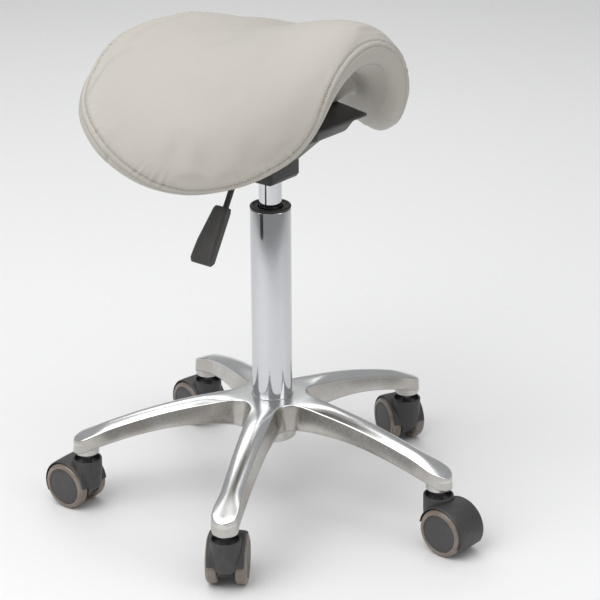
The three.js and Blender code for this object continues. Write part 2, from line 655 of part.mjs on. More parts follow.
function castorHood() {
  const dome = new THREE.Shape();
  dome.absarc(CASTOR_TRAIL, WHEEL_RADIUS, HOOD_RADIUS, -26 * DEG, 168 * DEG, false);
  const web = new THREE.Shape();
  web.absarc(CASTOR_TRAIL, WHEEL_RADIUS, HOOD_RADIUS - 3, -20 * DEG, 200 * DEG, false);
  let hood = slab(dome, 2 * HOOD_HALF_WIDTH, FRONT_VIEW, 8);
  hood = hood.add(slab(web, 2 * (WHEEL_INNER - 0.7), FRONT_VIEW, 7));
  const barrel = turned([
    [0, 26], [BARREL_RADIUS - 7, 26], [BARREL_RADIUS - 2, 31], [BARREL_RADIUS, 50],
    [BARREL_RADIUS, CUP_RIM], [0, CUP_RIM]], 20);
  hood = hood.add(barrel).subtract(wheelSpace(1)).subtract(wheelSpace(-1));
  hood = hood.subtract(rod(BARREL_RADIUS - 1.6, CUP_RIM - 6, CUP_RIM + 10, 20));
  hood = hood.subtract(rod(STEM_RADIUS + GAP, 34, CUP_RIM + 10, 12));
  const axleBore = new THREE.CylinderGeometry(AXLE_RADIUS + GAP, AXLE_RADIUS + GAP, 40, 8);
  return hood.subtract(solid(axleBore, new THREE.Matrix4().makeTranslation(CASTOR_TRAIL, 0, WHEEL_RADIUS)));
}

function castorStem() {
  const top = SOCKET_BOTTOM + SOCKET_DEPTH - GAP;
  return turned([
    [0, 34 + GAP], [STEM_RADIUS, 34 + GAP], [STEM_RADIUS, top - 2], [STEM_RADIUS - 1.5, top], [0, top]], 12);
}

function axlePlace(body) {
  return body.rotate([90, 0, 0]).translate([CASTOR_TRAIL, 0, WHEEL_RADIUS]);
}

function castorAxle() {
  return axlePlace(rod(AXLE_RADIUS, -20.5, 20.5, 8));
}

// side is +1 or -1; the profile runs from the inner face outwards
function wheelCore(side) {
  const face = side * (WHEEL_OUTER - 0.2);
  const bore = AXLE_RADIUS + GAP;
  return axlePlace(turned([
    [bore, side * (WHEEL_INNER + 0.4)], [DISC_RADIUS, side * (WHEEL_INNER + 0.4)], [DISC_RADIUS, face],
    [0, face], [0, side * 21.2], [bore, side * 21.2]].map(([radius, place]) => [radius, -place]), 16));
}

function wheelTread(side) {
  const inner = DISC_RADIUS + GAP;
  return axlePlace(turned([
    [inner, WHEEL_INNER], [WHEEL_RADIUS - 2, WHEEL_INNER], [WHEEL_RADIUS, WHEEL_INNER + 2],
    [WHEEL_RADIUS, WHEEL_OUTER - 3], [WHEEL_RADIUS - 2.5, WHEEL_OUTER], [inner, WHEEL_OUTER],
  ].map(([radius, place]) => [radius, -side * place]), 20));
}

// ---------------------------------------------------------------- assembly
function finish(color, roughness, metalness) {
  return () => new THREE.MeshStandardMaterial({ color, roughness, metalness });
}

const FINISH = {
  polishedAluminium: finish(0xc9cbcc, 0.22, 1),
  chrome: finish(0xd6d8da, 0.08, 1),
  steel: finish(0x9a9c9e, 0.35, 1),
  blackSteel: finish(0x2b2a29, 0.5, 0.2),
  blackPlastic: finish(0x242322, 0.45, 0),
  hoodPlastic: finish(0x42403f, 0.5, 0),
  discPlastic: finish(0x464443, 0.45, 0),
  treadTpu: finish(0x7d736a, 0.3, 0),
  rubber: finish(0x1c1c1c, 0.8, 0),
  plywood: finish(0xb08a5c, 0.7, 0),
  leatherette: finish(0xd7d2c8, 0.6, 0),
};

function addPiece(group, name, body, material) {
  const mesh = new THREE.Mesh(surface(body), material());
  mesh.name = name;
  group.add(mesh);
}

function buildStool() {
  const stool = new THREE.Group();
  const pieces = [
    ['star_base', starBase(), FINISH.polishedAluminium],
    ['column_tube', columnTube(), FINISH.chrome],
    ['column_collar', columnCollar(), FINISH.blackPlastic],
    ['guide_sleeve', guideSleeve(), FINISH.blackPlastic],
    ['bearing_race_lower', bearingRace(FIRST_RACE), FINISH.steel],
    ['bearing_ball_cage', ballCage(), FINISH.steel],
    ['bearing_race_upper', bearingRace(SECOND_RACE), FINISH.steel],
    ['rubber_buffer', rubberBuffer(), FINISH.rubber],
    ['piston_rod', pistonRod(), FINISH.steel],
    ['retaining_clip', retainingClip(), FINISH.steel],
    ['gas_cylinder', gasCylinder(), FINISH.chrome],
    ['valve_pin', valvePin(), FINISH.steel],
    ['mechanism_housing', mechanismHousing(), FINISH.blackSteel],
    ['tilt_pin', crossRod(PIVOT_RADIUS, 26), FINISH.steel],
    ['upper_bracket', upperBracket(), FINISH.blackSteel],
    ['seat_plate', seatPlate(), FINISH.blackSteel],
    ['lever_rod', leverRod(), FINISH.blackSteel],
    ['lever_handle', leverHandle(), FINISH.blackPlastic],
    ['seat_shell', seatShell(), FINISH.plywood],
    ['seat_under_cover', seatUnderCover(), FINISH.leatherette],
    ['seat_cushion', seatCushion(), FINISH.leatherette],
  ];
  for (const [name, body, material] of pieces) addPiece(stool, name, body, material);
  let bolt = 1;
  for (const forward of BOLT_FORWARD) {
    for (const across of [-BOLT_SIDE, BOLT_SIDE]) {
      addPiece(stool, `seat_bolt_${bolt}`, seatBolt(forward, across), FINISH.steel);
      bolt += 1;
    }
  }
  return stool;
}

function buildCastor(number) {
  const castor = new THREE.Group();
  castor.position.copy(stemPlace(number - 1));
  castor.rotation.z = TRAIL_DIRECTIONS[number - 1] * DEG;
  addPiece(castor, `castor_hood_${number}`, castorHood(), FINISH.hoodPlastic);
  addPiece(castor, `castor_stem_${number}`, castorStem(), FINISH.steel);
  addPiece(castor, `castor_axle_${number}`, castorAxle(), FINISH.steel);
  for (const [label, side] of [['left', 1], ['right', -1]]) {
    addPiece(castor, `wheel_core_${number}_${label}`, wheelCore(side), FINISH.discPlastic);
    addPiece(castor, `wheel_tread_${number}_${label}`, wheelTread(side), FINISH.treadTpu);
  }
  return castor;
}

const stool = buildStool();
for (let number = 1; number <= ARM_COUNT; number += 1) stool.add(buildCastor(number));

// put the origin on the floor under the middle of the bounding box
stool.updateMatrixWorld(true);
const middle = new THREE.Box3().setFromObject(stool, true).getCenter(new THREE.Vector3());
stool.position.set(-middle.x, -middle.y, 0);

export default stool;
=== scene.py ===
# %% [markdown]
# # A saddle stool
# A padded saddle seat stands on a chromed gas lift, which stands in a polished five-arm base on
# castors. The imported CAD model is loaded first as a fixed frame. It says where every piece is, so
# the pieces made here are built in its place, in metres, and never fitted by eye.
# %% The frame
import math
import bmesh
import bpy
import numpy as np
from mathutils import Matrix, Vector
from mathutils.bvhtree import BVHTree


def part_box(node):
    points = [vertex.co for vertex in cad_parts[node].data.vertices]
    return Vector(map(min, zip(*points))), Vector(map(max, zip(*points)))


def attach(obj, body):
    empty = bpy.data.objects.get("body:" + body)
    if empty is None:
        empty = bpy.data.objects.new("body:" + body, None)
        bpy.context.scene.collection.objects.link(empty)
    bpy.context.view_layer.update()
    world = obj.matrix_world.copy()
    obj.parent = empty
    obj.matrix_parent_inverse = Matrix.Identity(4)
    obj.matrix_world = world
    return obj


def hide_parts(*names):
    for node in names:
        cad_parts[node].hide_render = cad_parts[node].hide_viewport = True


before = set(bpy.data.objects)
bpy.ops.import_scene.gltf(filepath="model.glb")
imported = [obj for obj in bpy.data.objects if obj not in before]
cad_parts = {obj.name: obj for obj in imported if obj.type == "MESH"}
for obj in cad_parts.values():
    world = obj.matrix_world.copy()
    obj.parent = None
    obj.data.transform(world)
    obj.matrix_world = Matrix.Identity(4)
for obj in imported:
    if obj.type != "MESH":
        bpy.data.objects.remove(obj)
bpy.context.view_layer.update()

# %% [markdown]
# Every place comes from the CAD nodes' boxes: the column's axis, the five stems and the five axles.
# Lengths below are in millimetres, as on a drawing, and MM turns them into Blender's metres.
# %% Places
MM = 0.001
CASTORS = range(1, 6)


def middle(node):
    low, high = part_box(node)
    return (low + high) / 2


def flat(point):
    return Vector((point.x, point.y, 0))


AXIS = flat(middle("column_tube"))
STEMS = {k: flat(middle(f"castor_stem_{k}")) for k in CASTORS}
AXLES = {k: middle(f"castor_axle_{k}") for k in CASTORS}
HUB_TO_STEM = (STEMS[1] - AXIS).length / MM
FIRST_ARM = math.atan2(STEMS[1].y - AXIS.y, STEMS[1].x - AXIS.x)
print("column axis", AXIS, "stems at", round(HUB_TO_STEM, 1), "mm")

# %% [markdown]
# The camera stands about 2.4 metres away and 1.2 metres up, with a long lens.
# It is aimed at the column, and a small lens shift then places the stool in the frame.
# %% Camera
CAMERA_DISTANCE = 2.37786
CAMERA_ELEVATION = math.radians(21.65)
CAMERA_AZIMUTH = math.radians(-50.6)
CAMERA_ROLL = math.radians(-0.62)
CAMERA_LENS = 116.477
CAMERA_SHIFT = (0.04798, -0.03442)
AIM_HEIGHT = 0.3

camera_data = bpy.data.cameras.new("camera")
camera_data.sensor_width = 36
camera_data.lens = CAMERA_LENS
camera_data.shift_x, camera_data.shift_y = CAMERA_SHIFT
camera_data.clip_end = 100
camera = bpy.data.objects.new("camera", camera_data)
bpy.context.scene.collection.objects.link(camera)
back = Vector((
    math.sin(CAMERA_AZIMUTH) * math.cos(CAMERA_ELEVATION),
    -math.cos(CAMERA_AZIMUTH) * math.cos(CAMERA_ELEVATION),
    math.sin(CAMERA_ELEVATION)))
aim = AXIS + Vector((0, 0, AIM_HEIGHT))
camera.location = aim + back * CAMERA_DISTANCE
camera.rotation_mode = "QUATERNION"
roll = Matrix.Rotation(CAMERA_ROLL, 3, "Z").to_quaternion()
camera.rotation_quaternion = (-back).to_track_quat("-Z", "Y") @ roll
bpy.context.scene.camera = camera

# %% [markdown]
# ## Shader maths in Python
# A finish is a network of nodes. Writing `1 - mask * 0.3` is easier to read than placing two Math
# nodes, so a small class wraps a socket and each operator adds the node that it stands for.
# %% Shader sockets as values
class Value:
    def __init__(self, finish, socket):
        self.finish = finish
        self.socket = socket

    def maths(self, operation, *others):
        inputs = dict(enumerate((self, *others)))
        return self.finish.node("ShaderNodeMath", {"operation": operation}, inputs)

    def __add__(self, other):
        return self.maths("ADD", other)

    __radd__ = __add__

    def __mul__(self, other):
        return self.maths("MULTIPLY", other)

    __rmul__ = __mul__

    def __sub__(self, other):
        return self.maths("SUBTRACT", other)

    def __rsub__(self, other):
        return self.finish.node("ShaderNodeMath", {"operation": "SUBTRACT"}, {0: other, 1: self})

    def __truediv__(self, other):
        return self.maths("DIVIDE", other)

    def __pow__(self, other):
        return self.maths("POWER", other)

    def between(self, low, high):
        """0 below low, 1 above high, and a smooth step in between."""
        settings = {"interpolation_type": "SMOOTHSTEP"}
        return self.finish.node("ShaderNodeMapRange", settings, {"Value": self, 1: low, 2: high})


# %% [markdown]
# One class makes a finish. Its `node` method adds any node: the settings go in first, such as an
# operation or a ramp's stops, and then the values or links of its sockets.
# %% A finish and its nodes
class Finish:
    def __init__(self, name, **constants):
        self.material = bpy.data.materials.new(name)
        self.material.use_nodes = True
        self.nodes = self.material.node_tree.nodes
        self.links = self.material.node_tree.links
        self.nodes.clear()
        self.shader = self.nodes.new("ShaderNodeBsdfPrincipled")
        output = self.nodes.new("ShaderNodeOutputMaterial")
        self.links.new(self.shader.outputs[0], output.inputs[0])
        for socket, value in constants.items():
            self.shader.inputs[socket.replace("_", " ")].default_value = value
        self.place = self.node("ShaderNodeTexCoord", {}, {}, output="Object")

    def node(self, kind, settings, inputs, output=0):
        made = self.nodes.new(kind)
        for name, value in settings.items():
            if name == "stops":
                self.fill_ramp(made.color_ramp, value)
            else:
                setattr(made, name, value)
        for key, value in inputs.items():
            self.feed(made.inputs[key], value)
        return Value(self, made.outputs[output])

    def feed(self, socket, value):
        if isinstance(value, Value):
            self.links.new(value.socket, socket)
        else:
            socket.default_value = value

    @staticmethod
    def fill_ramp(ramp, stops):
        while len(ramp.elements) < len(stops):
            ramp.elements.new(0.5)
        for element, (position, colour) in zip(ramp.elements, stops):
            element.position = position
            element.color = (*colour, 1)

    def stretched(self, scale, location=(0, 0, 0)):
        """Object coordinates measured from a place, and stretched."""
        shift = tuple(-part * size for part, size in zip(location, scale))
        return self.node("ShaderNodeMapping", {}, {"Vector": self.place, "Location": shift, "Scale": scale})

    def noise(self, scale, detail=3.0, roughness=0.5, vector=None):
        inputs = {"Vector": vector or self.place, "Scale": scale, "Detail": detail, "Roughness": roughness}
        return self.node("ShaderNodeTexNoise", {}, inputs)

    def cells(self, scale, feature="F1"):
        inputs = {"Vector": self.place, "Scale": scale}
        return self.node("ShaderNodeTexVoronoi", {"feature": feature}, inputs, output="Distance")

    def mixed(self, factor, first, second):
        inputs = {0: factor, 6: self.colour(first), 7: self.colour(second)}
        return self.node("ShaderNodeMix", {"data_type": "RGBA"}, inputs, output=2)

    @staticmethod
    def colour(value):
        return value if isinstance(value, Value) else (*value, 1)

    def paint(self, colour, roughness):
        self.feed(self.shader.inputs["Base Color"], colour)
        self.feed(self.shader.inputs["Roughness"], roughness)

    def bump(self, height, distance, strength=1.0):
        inputs = {"Height": height, "Distance": distance, "Strength": strength}
        self.feed(self.shader.inputs["Normal"], self.node("ShaderNodeBump", {}, inputs))


# %% [markdown]
# ## Finishes
# The cover is a soft leatherette. Its grain is a net of tiny pebbles, about a millimetre across,
# with the finest wrinkles between them; the hollows between the pebbles are darkened, a painted
# shade. Its cream varies a little over the hide, and it is a touch greyer and rougher where it is
# handled. The cover also shows its needlework, which it finds with a UV map of its own: its needle
# holes, the groove of the topstitching and the crease of the join below are darkened, a painted
# shade. The underside has no needlework and is evenly darkened a little, a painted shade.
# %% Leatherette
STITCH_PITCH = 3.4
HOLE_RADIUS = 0.85
JOIN_BELOW = -8.0
# An even painted shade: how far the underside is darkened towards a deep cream.
UNDERSIDE_PAINTED_SHADE = 0.10


def needle_marks(finish):
    """Three masks: the needle holes of the topstitching, its groove, and the crease of the join below it.
    They darken the cover as painted shade, and the holes and the crease also sink its bump.
    """
    run = finish.node("ShaderNodeUVMap", {"uv_map": "needlework"}, {})
    across_seam = finish.node("ShaderNodeSeparateXYZ", {}, {0: run})
    along, below = across_seam, Value(finish, across_seam.socket.node.outputs[1])
    phase = (along / STITCH_PITCH).maths("FRACT") - 0.5
    spread = ((phase * STITCH_PITCH) ** 2 + below * below) ** 0.5
    holes = 1 - spread.between(HOLE_RADIUS * 0.5, HOLE_RADIUS * 1.5)
    line = 1 - below.maths("ABSOLUTE").between(0.3, 1.8)
    join = 1 - (below - JOIN_BELOW).maths("ABSOLUTE").between(0.15, 0.9)
    return holes, line, join


def leatherette(name, cream, grain_depth, needled):
    finish = Finish(name, Sheen_Weight=0.12, Sheen_Roughness=0.5, Specular_IOR_Level=0.35)
    painted_shade, sunk = UNDERSIDE_PAINTED_SHADE, 0
    if needled:
        holes, line, join = needle_marks(finish)
        # The needle holes, the seam's groove and the join's crease are darkened: painted shade.
        painted_shade = (holes * 0.95 + line * 0.10 + join * 0.36).maths("MINIMUM", 1.0)
        sunk = holes * 3 + join * 2
    warp = finish.noise(260, detail=2)
    pebbles = finish.cells(1050, feature="DISTANCE_TO_EDGE").between(0.0, 0.16)
    fine = finish.cells(2300, feature="DISTANCE_TO_EDGE").between(0.0, 0.2)
    cloud = finish.noise(7, detail=4)
    soil = finish.noise(19, detail=6, roughness=0.62).between(0.5, 0.74)
    grey = tuple(part * 0.90 for part in cream)
    warm = (cream[0] * 1.01, cream[1] * 0.995, cream[2] * 0.97)
    body = finish.mixed(cloud.between(0.25, 0.75), cream, warm)
    body = finish.mixed(soil * 0.35, body, grey)
    # The hollows between the pebbles, low in the bump below, are darkened: painted shade in the grain.
    body = finish.mixed((1 - pebbles) * 0.22, body, tuple(part * 0.72 for part in cream))
    # This mix paints the shade: along the needlework on the cover, and evenly on the underside.
    body = finish.mixed(painted_shade, body, tuple(part * 0.42 for part in cream))
    finish.paint(colour=body, roughness=0.47 + cloud * 0.10 + soil * 0.07 - pebbles * 0.05)
    finish.bump(pebbles * 0.6 + fine * 0.25 + warp * 0.35 - sunk, grain_depth)
    return finish.material


COVER = leatherette("cream_leatherette", (0.490, 0.466, 0.424), 0.10 * MM, needled=True)
UNDERSIDE = leatherette("underside_leatherette", (0.475, 0.450, 0.408), 0.08 * MM, needled=False)

# %% [markdown]
# The thread of the topstitching is twisted polyester: two plies wound round each other, which shows
# as fine slanted ribs. The grooves between the plies are darker than their crests: painted shade.
# %% Thread
def thread():
    finish = Finish("seam_thread", Sheen_Weight=0.3, Specular_IOR_Level=0.3)
    settings = {"wave_type": "BANDS", "bands_direction": "DIAGONAL"}
    inputs = {"Vector": finish.place, "Scale": 700.0, "Distortion": 1.5, "Detail": 2.0}
    plies = finish.node("ShaderNodeTexWave", settings, inputs)
    # The colour follows the bump: darker in the grooves between the plies, a painted shade.
    colour = finish.mixed(plies, (0.50, 0.46, 0.39), (0.66, 0.62, 0.55))
    finish.paint(colour=colour, roughness=0.62 - plies * 0.1)
    finish.bump(plies, 0.05 * MM)
    return finish.material


THREAD = thread()

# %% [markdown]
# The base is cast aluminium. Its tops are polished on a wheel, which leaves hair-fine marks along
# the arms, and its side walls are only linished, so they are satin and a little warmer. Which face
# is which is read from an attribute that the mesh carries, where 1 is polished.
# %% Polished casting
def polished_aluminium():
    finish = Finish("polished_aluminium", Metallic=1.0, Specular_Tint=(1, 1, 1, 1))
    polish = finish.node("ShaderNodeAttribute", {"attribute_name": "polish"}, {}, output="Fac")
    centred = finish.stretched((1, 1, 1), tuple(AXIS))
    split = finish.node("ShaderNodeSeparateXYZ", {}, {0: centred})
    east, north = split, Value(finish, split.socket.node.outputs[1])
    bearing = north.maths("ARCTAN2", east)
    distance = (east * east + north * north) ** 0.5
    level = Value(finish, split.socket.node.outputs[2])
    along = finish.node("ShaderNodeCombineXYZ", {}, {0: bearing * 60, 1: distance * 9, 2: level * 90})
    hairs = finish.noise(3.2, detail=8, roughness=0.75, vector=along)
    casting = finish.noise(210, detail=5, roughness=0.6)
    cloud = finish.noise(23, detail=3)
    pits = finish.cells(420).between(0.10, 0.02) * casting.between(0.56, 0.7)
    bright = finish.mixed(cloud.between(0.35, 0.7), (0.88, 0.885, 0.89), (0.82, 0.82, 0.82))
    smudge = finish.noise(34, detail=6, roughness=0.7, vector=along).between(0.42, 0.66)
    satin = finish.mixed(cloud.between(0.3, 0.65), (0.60, 0.585, 0.56), (0.48, 0.455, 0.425))
    satin = finish.mixed(smudge * 0.55, satin, (0.30, 0.28, 0.255))
    colour = finish.mixed(polish, satin, bright)
    rough_polish = 0.15 + hairs * 0.12 + cloud * 0.05
    rough_satin = 0.17 + casting * 0.15 + smudge * 0.12
    finish.paint(colour=colour, roughness=rough_polish * polish + rough_satin * (1 - polish))
    height = (casting * 0.8 - pits * 0.8) * (1 - polish) + hairs * 0.12
    finish.bump(height, 0.12 * MM, strength=0.7)
    return finish.material


ALUMINIUM = polished_aluminium()

# %% [markdown]
# Chrome plate is a mirror, so what makes it look real is what it reflects, and the faint wiping
# marks and finger smears that make its gloss uneven.
# %% Chrome and bright steel
def chrome(name, colour, gloss):
    finish = Finish(name, Metallic=1.0)
    upright = finish.stretched((1, 1, 0.12))
    wiping = finish.noise(170, detail=6, roughness=0.7, vector=upright)
    smears = finish.noise(16, detail=5, roughness=0.6).between(0.48, 0.72)
    dull = tuple(part * 0.93 for part in colour)
    body = finish.mixed(smears * 0.5, colour, dull)
    finish.paint(colour=body, roughness=gloss + wiping * 0.035 + smears * 0.05)
    finish.bump(wiping + smears * 0.3, 0.006 * MM)
    return finish.material


def bright_steel():
    finish = Finish("bright_steel", Metallic=1.0)
    turning = finish.noise(90, detail=7, roughness=0.8, vector=finish.stretched((1, 1, 24)))
    stain = finish.noise(45, detail=4).between(0.5, 0.75)
    colour = finish.mixed(stain, (0.60, 0.60, 0.60), (0.46, 0.45, 0.43))
    finish.paint(colour=colour, roughness=0.24 + turning * 0.18 + stain * 0.1)
    finish.bump(turning, 0.02 * MM)
    return finish.material


CHROME_TUBE = chrome("chromed_column", (0.62, 0.63, 0.65), 0.08)
CHROME_PISTON = chrome("chromed_cylinder", (0.62, 0.63, 0.65), 0.05)
STEEL = bright_steel()

# %% [markdown]
# The seat mechanism is sheet steel under black powder coat, which dries with an orange-peel skin.
# Dust makes it a little greyer in patches.
# %% Powder coat
def powder_coat():
    finish = Finish("black_powder_coat", Specular_IOR_Level=0.5)
    peel = finish.noise(900, detail=3, roughness=0.55)
    fine = finish.cells(2600)
    dust = finish.noise(34, detail=6, roughness=0.68).between(0.48, 0.78)
    colour = finish.mixed(dust * 0.6, (0.022, 0.021, 0.020), (0.060, 0.056, 0.052))
    finish.paint(colour=colour, roughness=0.36 + dust * 0.18 + peel * 0.08)
    finish.bump(peel + fine * 0.4, 0.07 * MM, strength=0.8)
    return finish.material


POWDER_COAT = powder_coat()

# %% [markdown]
# The plastics are moulded against spark-eroded steel, which gives them a fine, even grain. Rubbing
# polishes the grain, so patches of each are glossier.
# %% Moulded plastics
SCUFFS = 0.5


def moulded(name, colour, roughness, grain=1900, depth=0.05):
    finish = Finish(name, Specular_IOR_Level=0.45)
    spark = finish.noise(grain, detail=2, roughness=0.6)
    dimples = finish.cells(grain * 0.8)
    rubbed = finish.noise(38, detail=5, roughness=0.65).between(0.46, 0.72)
    drawn = finish.stretched((1, 0.16, 1))
    hairs = finish.noise(95, detail=8, roughness=0.8, vector=drawn).between(0.6, 0.72)
    lighter = tuple(part * 1.35 + 0.012 for part in colour)
    body = finish.mixed(rubbed * SCUFFS, colour, lighter)
    body = finish.mixed(hairs * SCUFFS * 0.4, body, tuple(part * 1.8 + 0.02 for part in colour))
    finish.paint(colour=body, roughness=roughness + spark * 0.08 - rubbed * 0.07 + hairs * 0.06)
    finish.bump(spark + dimples * 0.5, depth * MM)
    return finish.material


BLACK_PLASTIC = moulded("black_nylon", (0.024, 0.023, 0.022), 0.42)
PADDLE_PLASTIC = moulded("paddle_nylon", (0.055, 0.053, 0.051), 0.38, grain=1500, depth=0.07)
HOOD_PLASTIC = moulded("hood_nylon", (0.048, 0.045, 0.046), 0.46, grain=1300, depth=0.08)
DISC_PLASTIC = moulded("disc_nylon", (0.060, 0.057, 0.058), 0.40, grain=1700)

# %% [markdown]
# The treads are cast polyurethane: glossy, taupe and very slightly see-through. What rolls over a
# floor picks up dust, most of it in fine rings round the running face.
# %% Polyurethane and rubber
def polyurethane():
    finish = Finish("tread_polyurethane", Subsurface_Weight=0.08, Subsurface_Radius=(0.003, 0.002, 0.0015))
    finish.shader.inputs["Subsurface Scale"].default_value = 0.4
    cloud = finish.noise(60, detail=4)
    rings = finish.node("ShaderNodeUVMap", {"uv_map": "turned"}, {})
    striped = finish.node("ShaderNodeMapping", {}, {"Vector": rings, "Scale": (5, 900, 1)})
    wear = finish.noise(1, detail=5, roughness=0.7, vector=striped)
    dust = (wear * cloud * 2).between(0.42, 0.75)
    body = finish.mixed(cloud.between(0.3, 0.7), (0.205, 0.168, 0.138), (0.178, 0.146, 0.122))
    colour = finish.mixed(dust * 0.5, body, (0.33, 0.30, 0.27))
    finish.paint(colour=colour, roughness=0.20 + dust * 0.25 + wear * 0.06)
    finish.bump(wear, 0.03 * MM)
    return finish.material


def buffer_rubber():
    finish = Finish("buffer_rubber", Specular_IOR_Level=0.3)
    bloom = finish.noise(120, detail=5).between(0.4, 0.8)
    colour = finish.mixed(bloom, (0.012, 0.012, 0.012), (0.035, 0.034, 0.033))
    finish.paint(colour=colour, roughness=0.7 + bloom * 0.15)
    finish.bump(finish.noise(1400), 0.05 * MM)
    return finish.material


TREAD = polyurethane()
RUBBER = buffer_rubber()

# %% [markdown]
# The seat's shell is moulded beech plywood. Nobody sees it once the seat is closed, but it is there
# in the model, so it has its veneer: long growth lines, bent a little by noise.
# %% Plywood
def plywood():
    finish = Finish("beech_plywood", Specular_IOR_Level=0.4)
    settings = {"wave_type": "BANDS", "bands_direction": "X"}
    inputs = {"Vector": finish.stretched((1, 0.08, 1)), "Scale": 40.0, "Distortion": 7.0, "Detail": 4.0}
    growth = finish.node("ShaderNodeTexWave", settings, inputs)
    flecks = finish.noise(320, detail=3, vector=finish.stretched((1, 0.1, 1))).between(0.55, 0.7)
    body = finish.mixed(growth, (0.47, 0.28, 0.13), (0.36, 0.20, 0.09))
    colour = finish.mixed(flecks * 0.5, body, (0.22, 0.12, 0.05))
    finish.paint(colour=colour, roughness=0.45 + growth * 0.12)
    finish.bump(growth * 0.4 + flecks, 0.08 * MM)
    return finish.material


PLYWOOD = plywood()

# %% [markdown]
# ## Tools for meshes
# Each visible piece is a mesh of its own. `keep` says which body it moves with and which CAD nodes
# it stands for.
# %% Making and keeping a piece
SHARP = math.radians(38)


def make_piece(name, vertices, faces, material, sharp=SHARP, place=None):
    """A mesh object from points in millimetres."""
    mesh = bpy.data.meshes.new(name)
    points = np.asarray(vertices, float) * MM
    mesh.from_pydata(points.tolist(), [], faces)
    if place is not None:
        mesh.transform(place)
    mesh.materials.append(material)
    made = bpy.data.objects.new(name, mesh)
    bpy.context.scene.collection.objects.link(made)
    smooth(made, sharp)
    return made


def smooth(piece, sharp=SHARP):
    mesh = piece.data
    mesh.shade_smooth()
    mesh.set_sharp_from_angle(angle=sharp)
    mesh.update()


def outward(piece, weld=1e-6):
    """Merges doubled points and turns the faces outwards."""
    working = bmesh.new()
    working.from_mesh(piece.data)
    bmesh.ops.remove_doubles(working, verts=working.verts, dist=weld)
    bmesh.ops.recalc_face_normals(working, faces=working.faces)
    working.to_mesh(piece.data)
    working.free()
    piece.data.update()


def keep(piece, body, slot, *nodes):
    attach(piece, body)
    if nodes:
        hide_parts(*nodes)
    return piece


def bevel(piece, width, segments=3, angle=30):
    made = piece.modifiers.new("rounded_edges", "BEVEL")
    made.width = width * MM
    made.segments = segments
    made.limit_method = "ANGLE"
    made.angle_limit = math.radians(angle)
    made.harden_normals = False
    return piece


def settle(piece):
    """Turns a piece's modifiers into its mesh."""
    graph = bpy.context.evaluated_depsgraph_get()
    mesh = bpy.data.meshes.new_from_object(piece.evaluated_get(graph))
    piece.modifiers.clear()
    old = piece.data
    piece.data = mesh
    bpy.data.meshes.remove(old)
    mesh.name = piece.name
    return piece


def joined(name, pieces):
    """Several meshes as one object."""
    working = bmesh.new()
    for piece in pieces:
        working.from_mesh(piece.data)
    mesh = bpy.data.meshes.new(name)
    working.to_mesh(mesh)
    working.free()
    for material in pieces[0].data.materials:
        mesh.materials.append(material)
    for piece in pieces:
        bpy.data.objects.remove(piece)
    made = bpy.data.objects.new(name, mesh)
    bpy.context.scene.collection.objects.link(made)
    smooth(made)
    return made


# %% [markdown]
# A turned piece is a profile spun round an axis. Real corners are never sharp, so `rounded` first
# replaces each corner of the profile with a small arc. The UV map runs round the piece and along
# the profile, for finishes that follow the turning.
# %% Rounded outlines and turned pieces
CORNER_STEPS = 4


def rounded(points, radius, closed=False):
    """The outline with an arc at each corner; a point may carry its own radius as a third number."""
    made = []
    count = len(points)
    for i, point in enumerate(points):
        corner = np.array(point[:2], float)
        size = point[2] if len(point) > 2 else radius
        if size <= 0 or (not closed and i in (0, count - 1)):
            made.append(corner)
            continue
        before = np.array(points[i - 1][:2], float) - corner
        after = np.array(points[(i + 1) % count][:2], float) - corner
        reach = min(size, np.linalg.norm(before) * 0.49, np.linalg.norm(after) * 0.49)
        start = corner + before / np.linalg.norm(before) * reach
        end = corner + after / np.linalg.norm(after) * reach
        for t in np.arange(CORNER_STEPS + 1) / CORNER_STEPS:
            made.append((1 - t) ** 2 * start + 2 * t * (1 - t) * corner + t ** 2 * end)
    return np.array(made)


def turned(name, profile, material, steps=96, place=None, radius=0.6, closed=False):
    """Spins [radius, height] points about Z."""
    outline = rounded(profile, radius, closed=closed)
    count = len(outline)
    angles = np.arange(steps) / steps * 2 * math.pi
    rows = [np.stack([r * np.cos(angles), r * np.sin(angles), np.full(steps, z)], 1) for r, z in outline]
    spans = count if closed else count - 1
    faces = []
    for row in range(spans):
        here, there = row * steps, (row + 1) % count * steps
        for i in range(steps):
            j = (i + 1) % steps
            faces.append((here + i, here + j, there + j, there + i))
    made = make_piece(name, np.concatenate(rows), faces, material)
    lengths = np.concatenate([[0], np.cumsum(np.linalg.norm(np.diff(outline, axis=0), axis=1))]) * MM
    layer = made.data.uv_layers.new(name="turned")
    for loop in made.data.loops:
        row, i = divmod(loop.vertex_index, steps)
        layer.data[loop.index].uv = (i / steps, lengths[row])
    outward(made)
    if place is not None:
        made.data.transform(place)
    smooth(made)
    return made


def ring_faces(rows, columns):
    """The faces between rings of points that lie one after another."""
    return [(r * columns + c, r * columns + (c + 1) % columns, (r + 1) * columns + (c + 1) % columns,
             (r + 1) * columns + c) for r in range(rows - 1) for c in range(columns)]


def end_faces(rows, columns):
    """The two flat faces that close the first ring and the last."""
    last = (rows - 1) * columns
    return [tuple(range(columns - 1, -1, -1)), tuple(range(last, last + columns))]


def extruded(name, outline, thickness, place, material):
    """A flat outline given thickness about its plane."""
    count = len(outline)
    low = [(x, y, -thickness / 2) for x, y in outline]
    high = [(x, y, thickness / 2) for x, y in outline]
    sides = [(i, (i + 1) % count, count + (i + 1) % count, count + i) for i in range(count)]
    faces = [tuple(range(count - 1, -1, -1)), tuple(range(count, 2 * count)), *sides]
    made = make_piece(name, low + high, faces, material)
    outward(made)
    made.data.transform(place)
    return made


# %% [markdown]
# Pressed and folded pieces have the right shape in the CAD model, but with knife edges. A copy of
# the node is merged, its triangles are dissolved into flat faces, and a Bevel modifier rounds the
# edges as a press or a file would.
# %% CAD shapes with softened edges
SOFTENED_OVER = 28


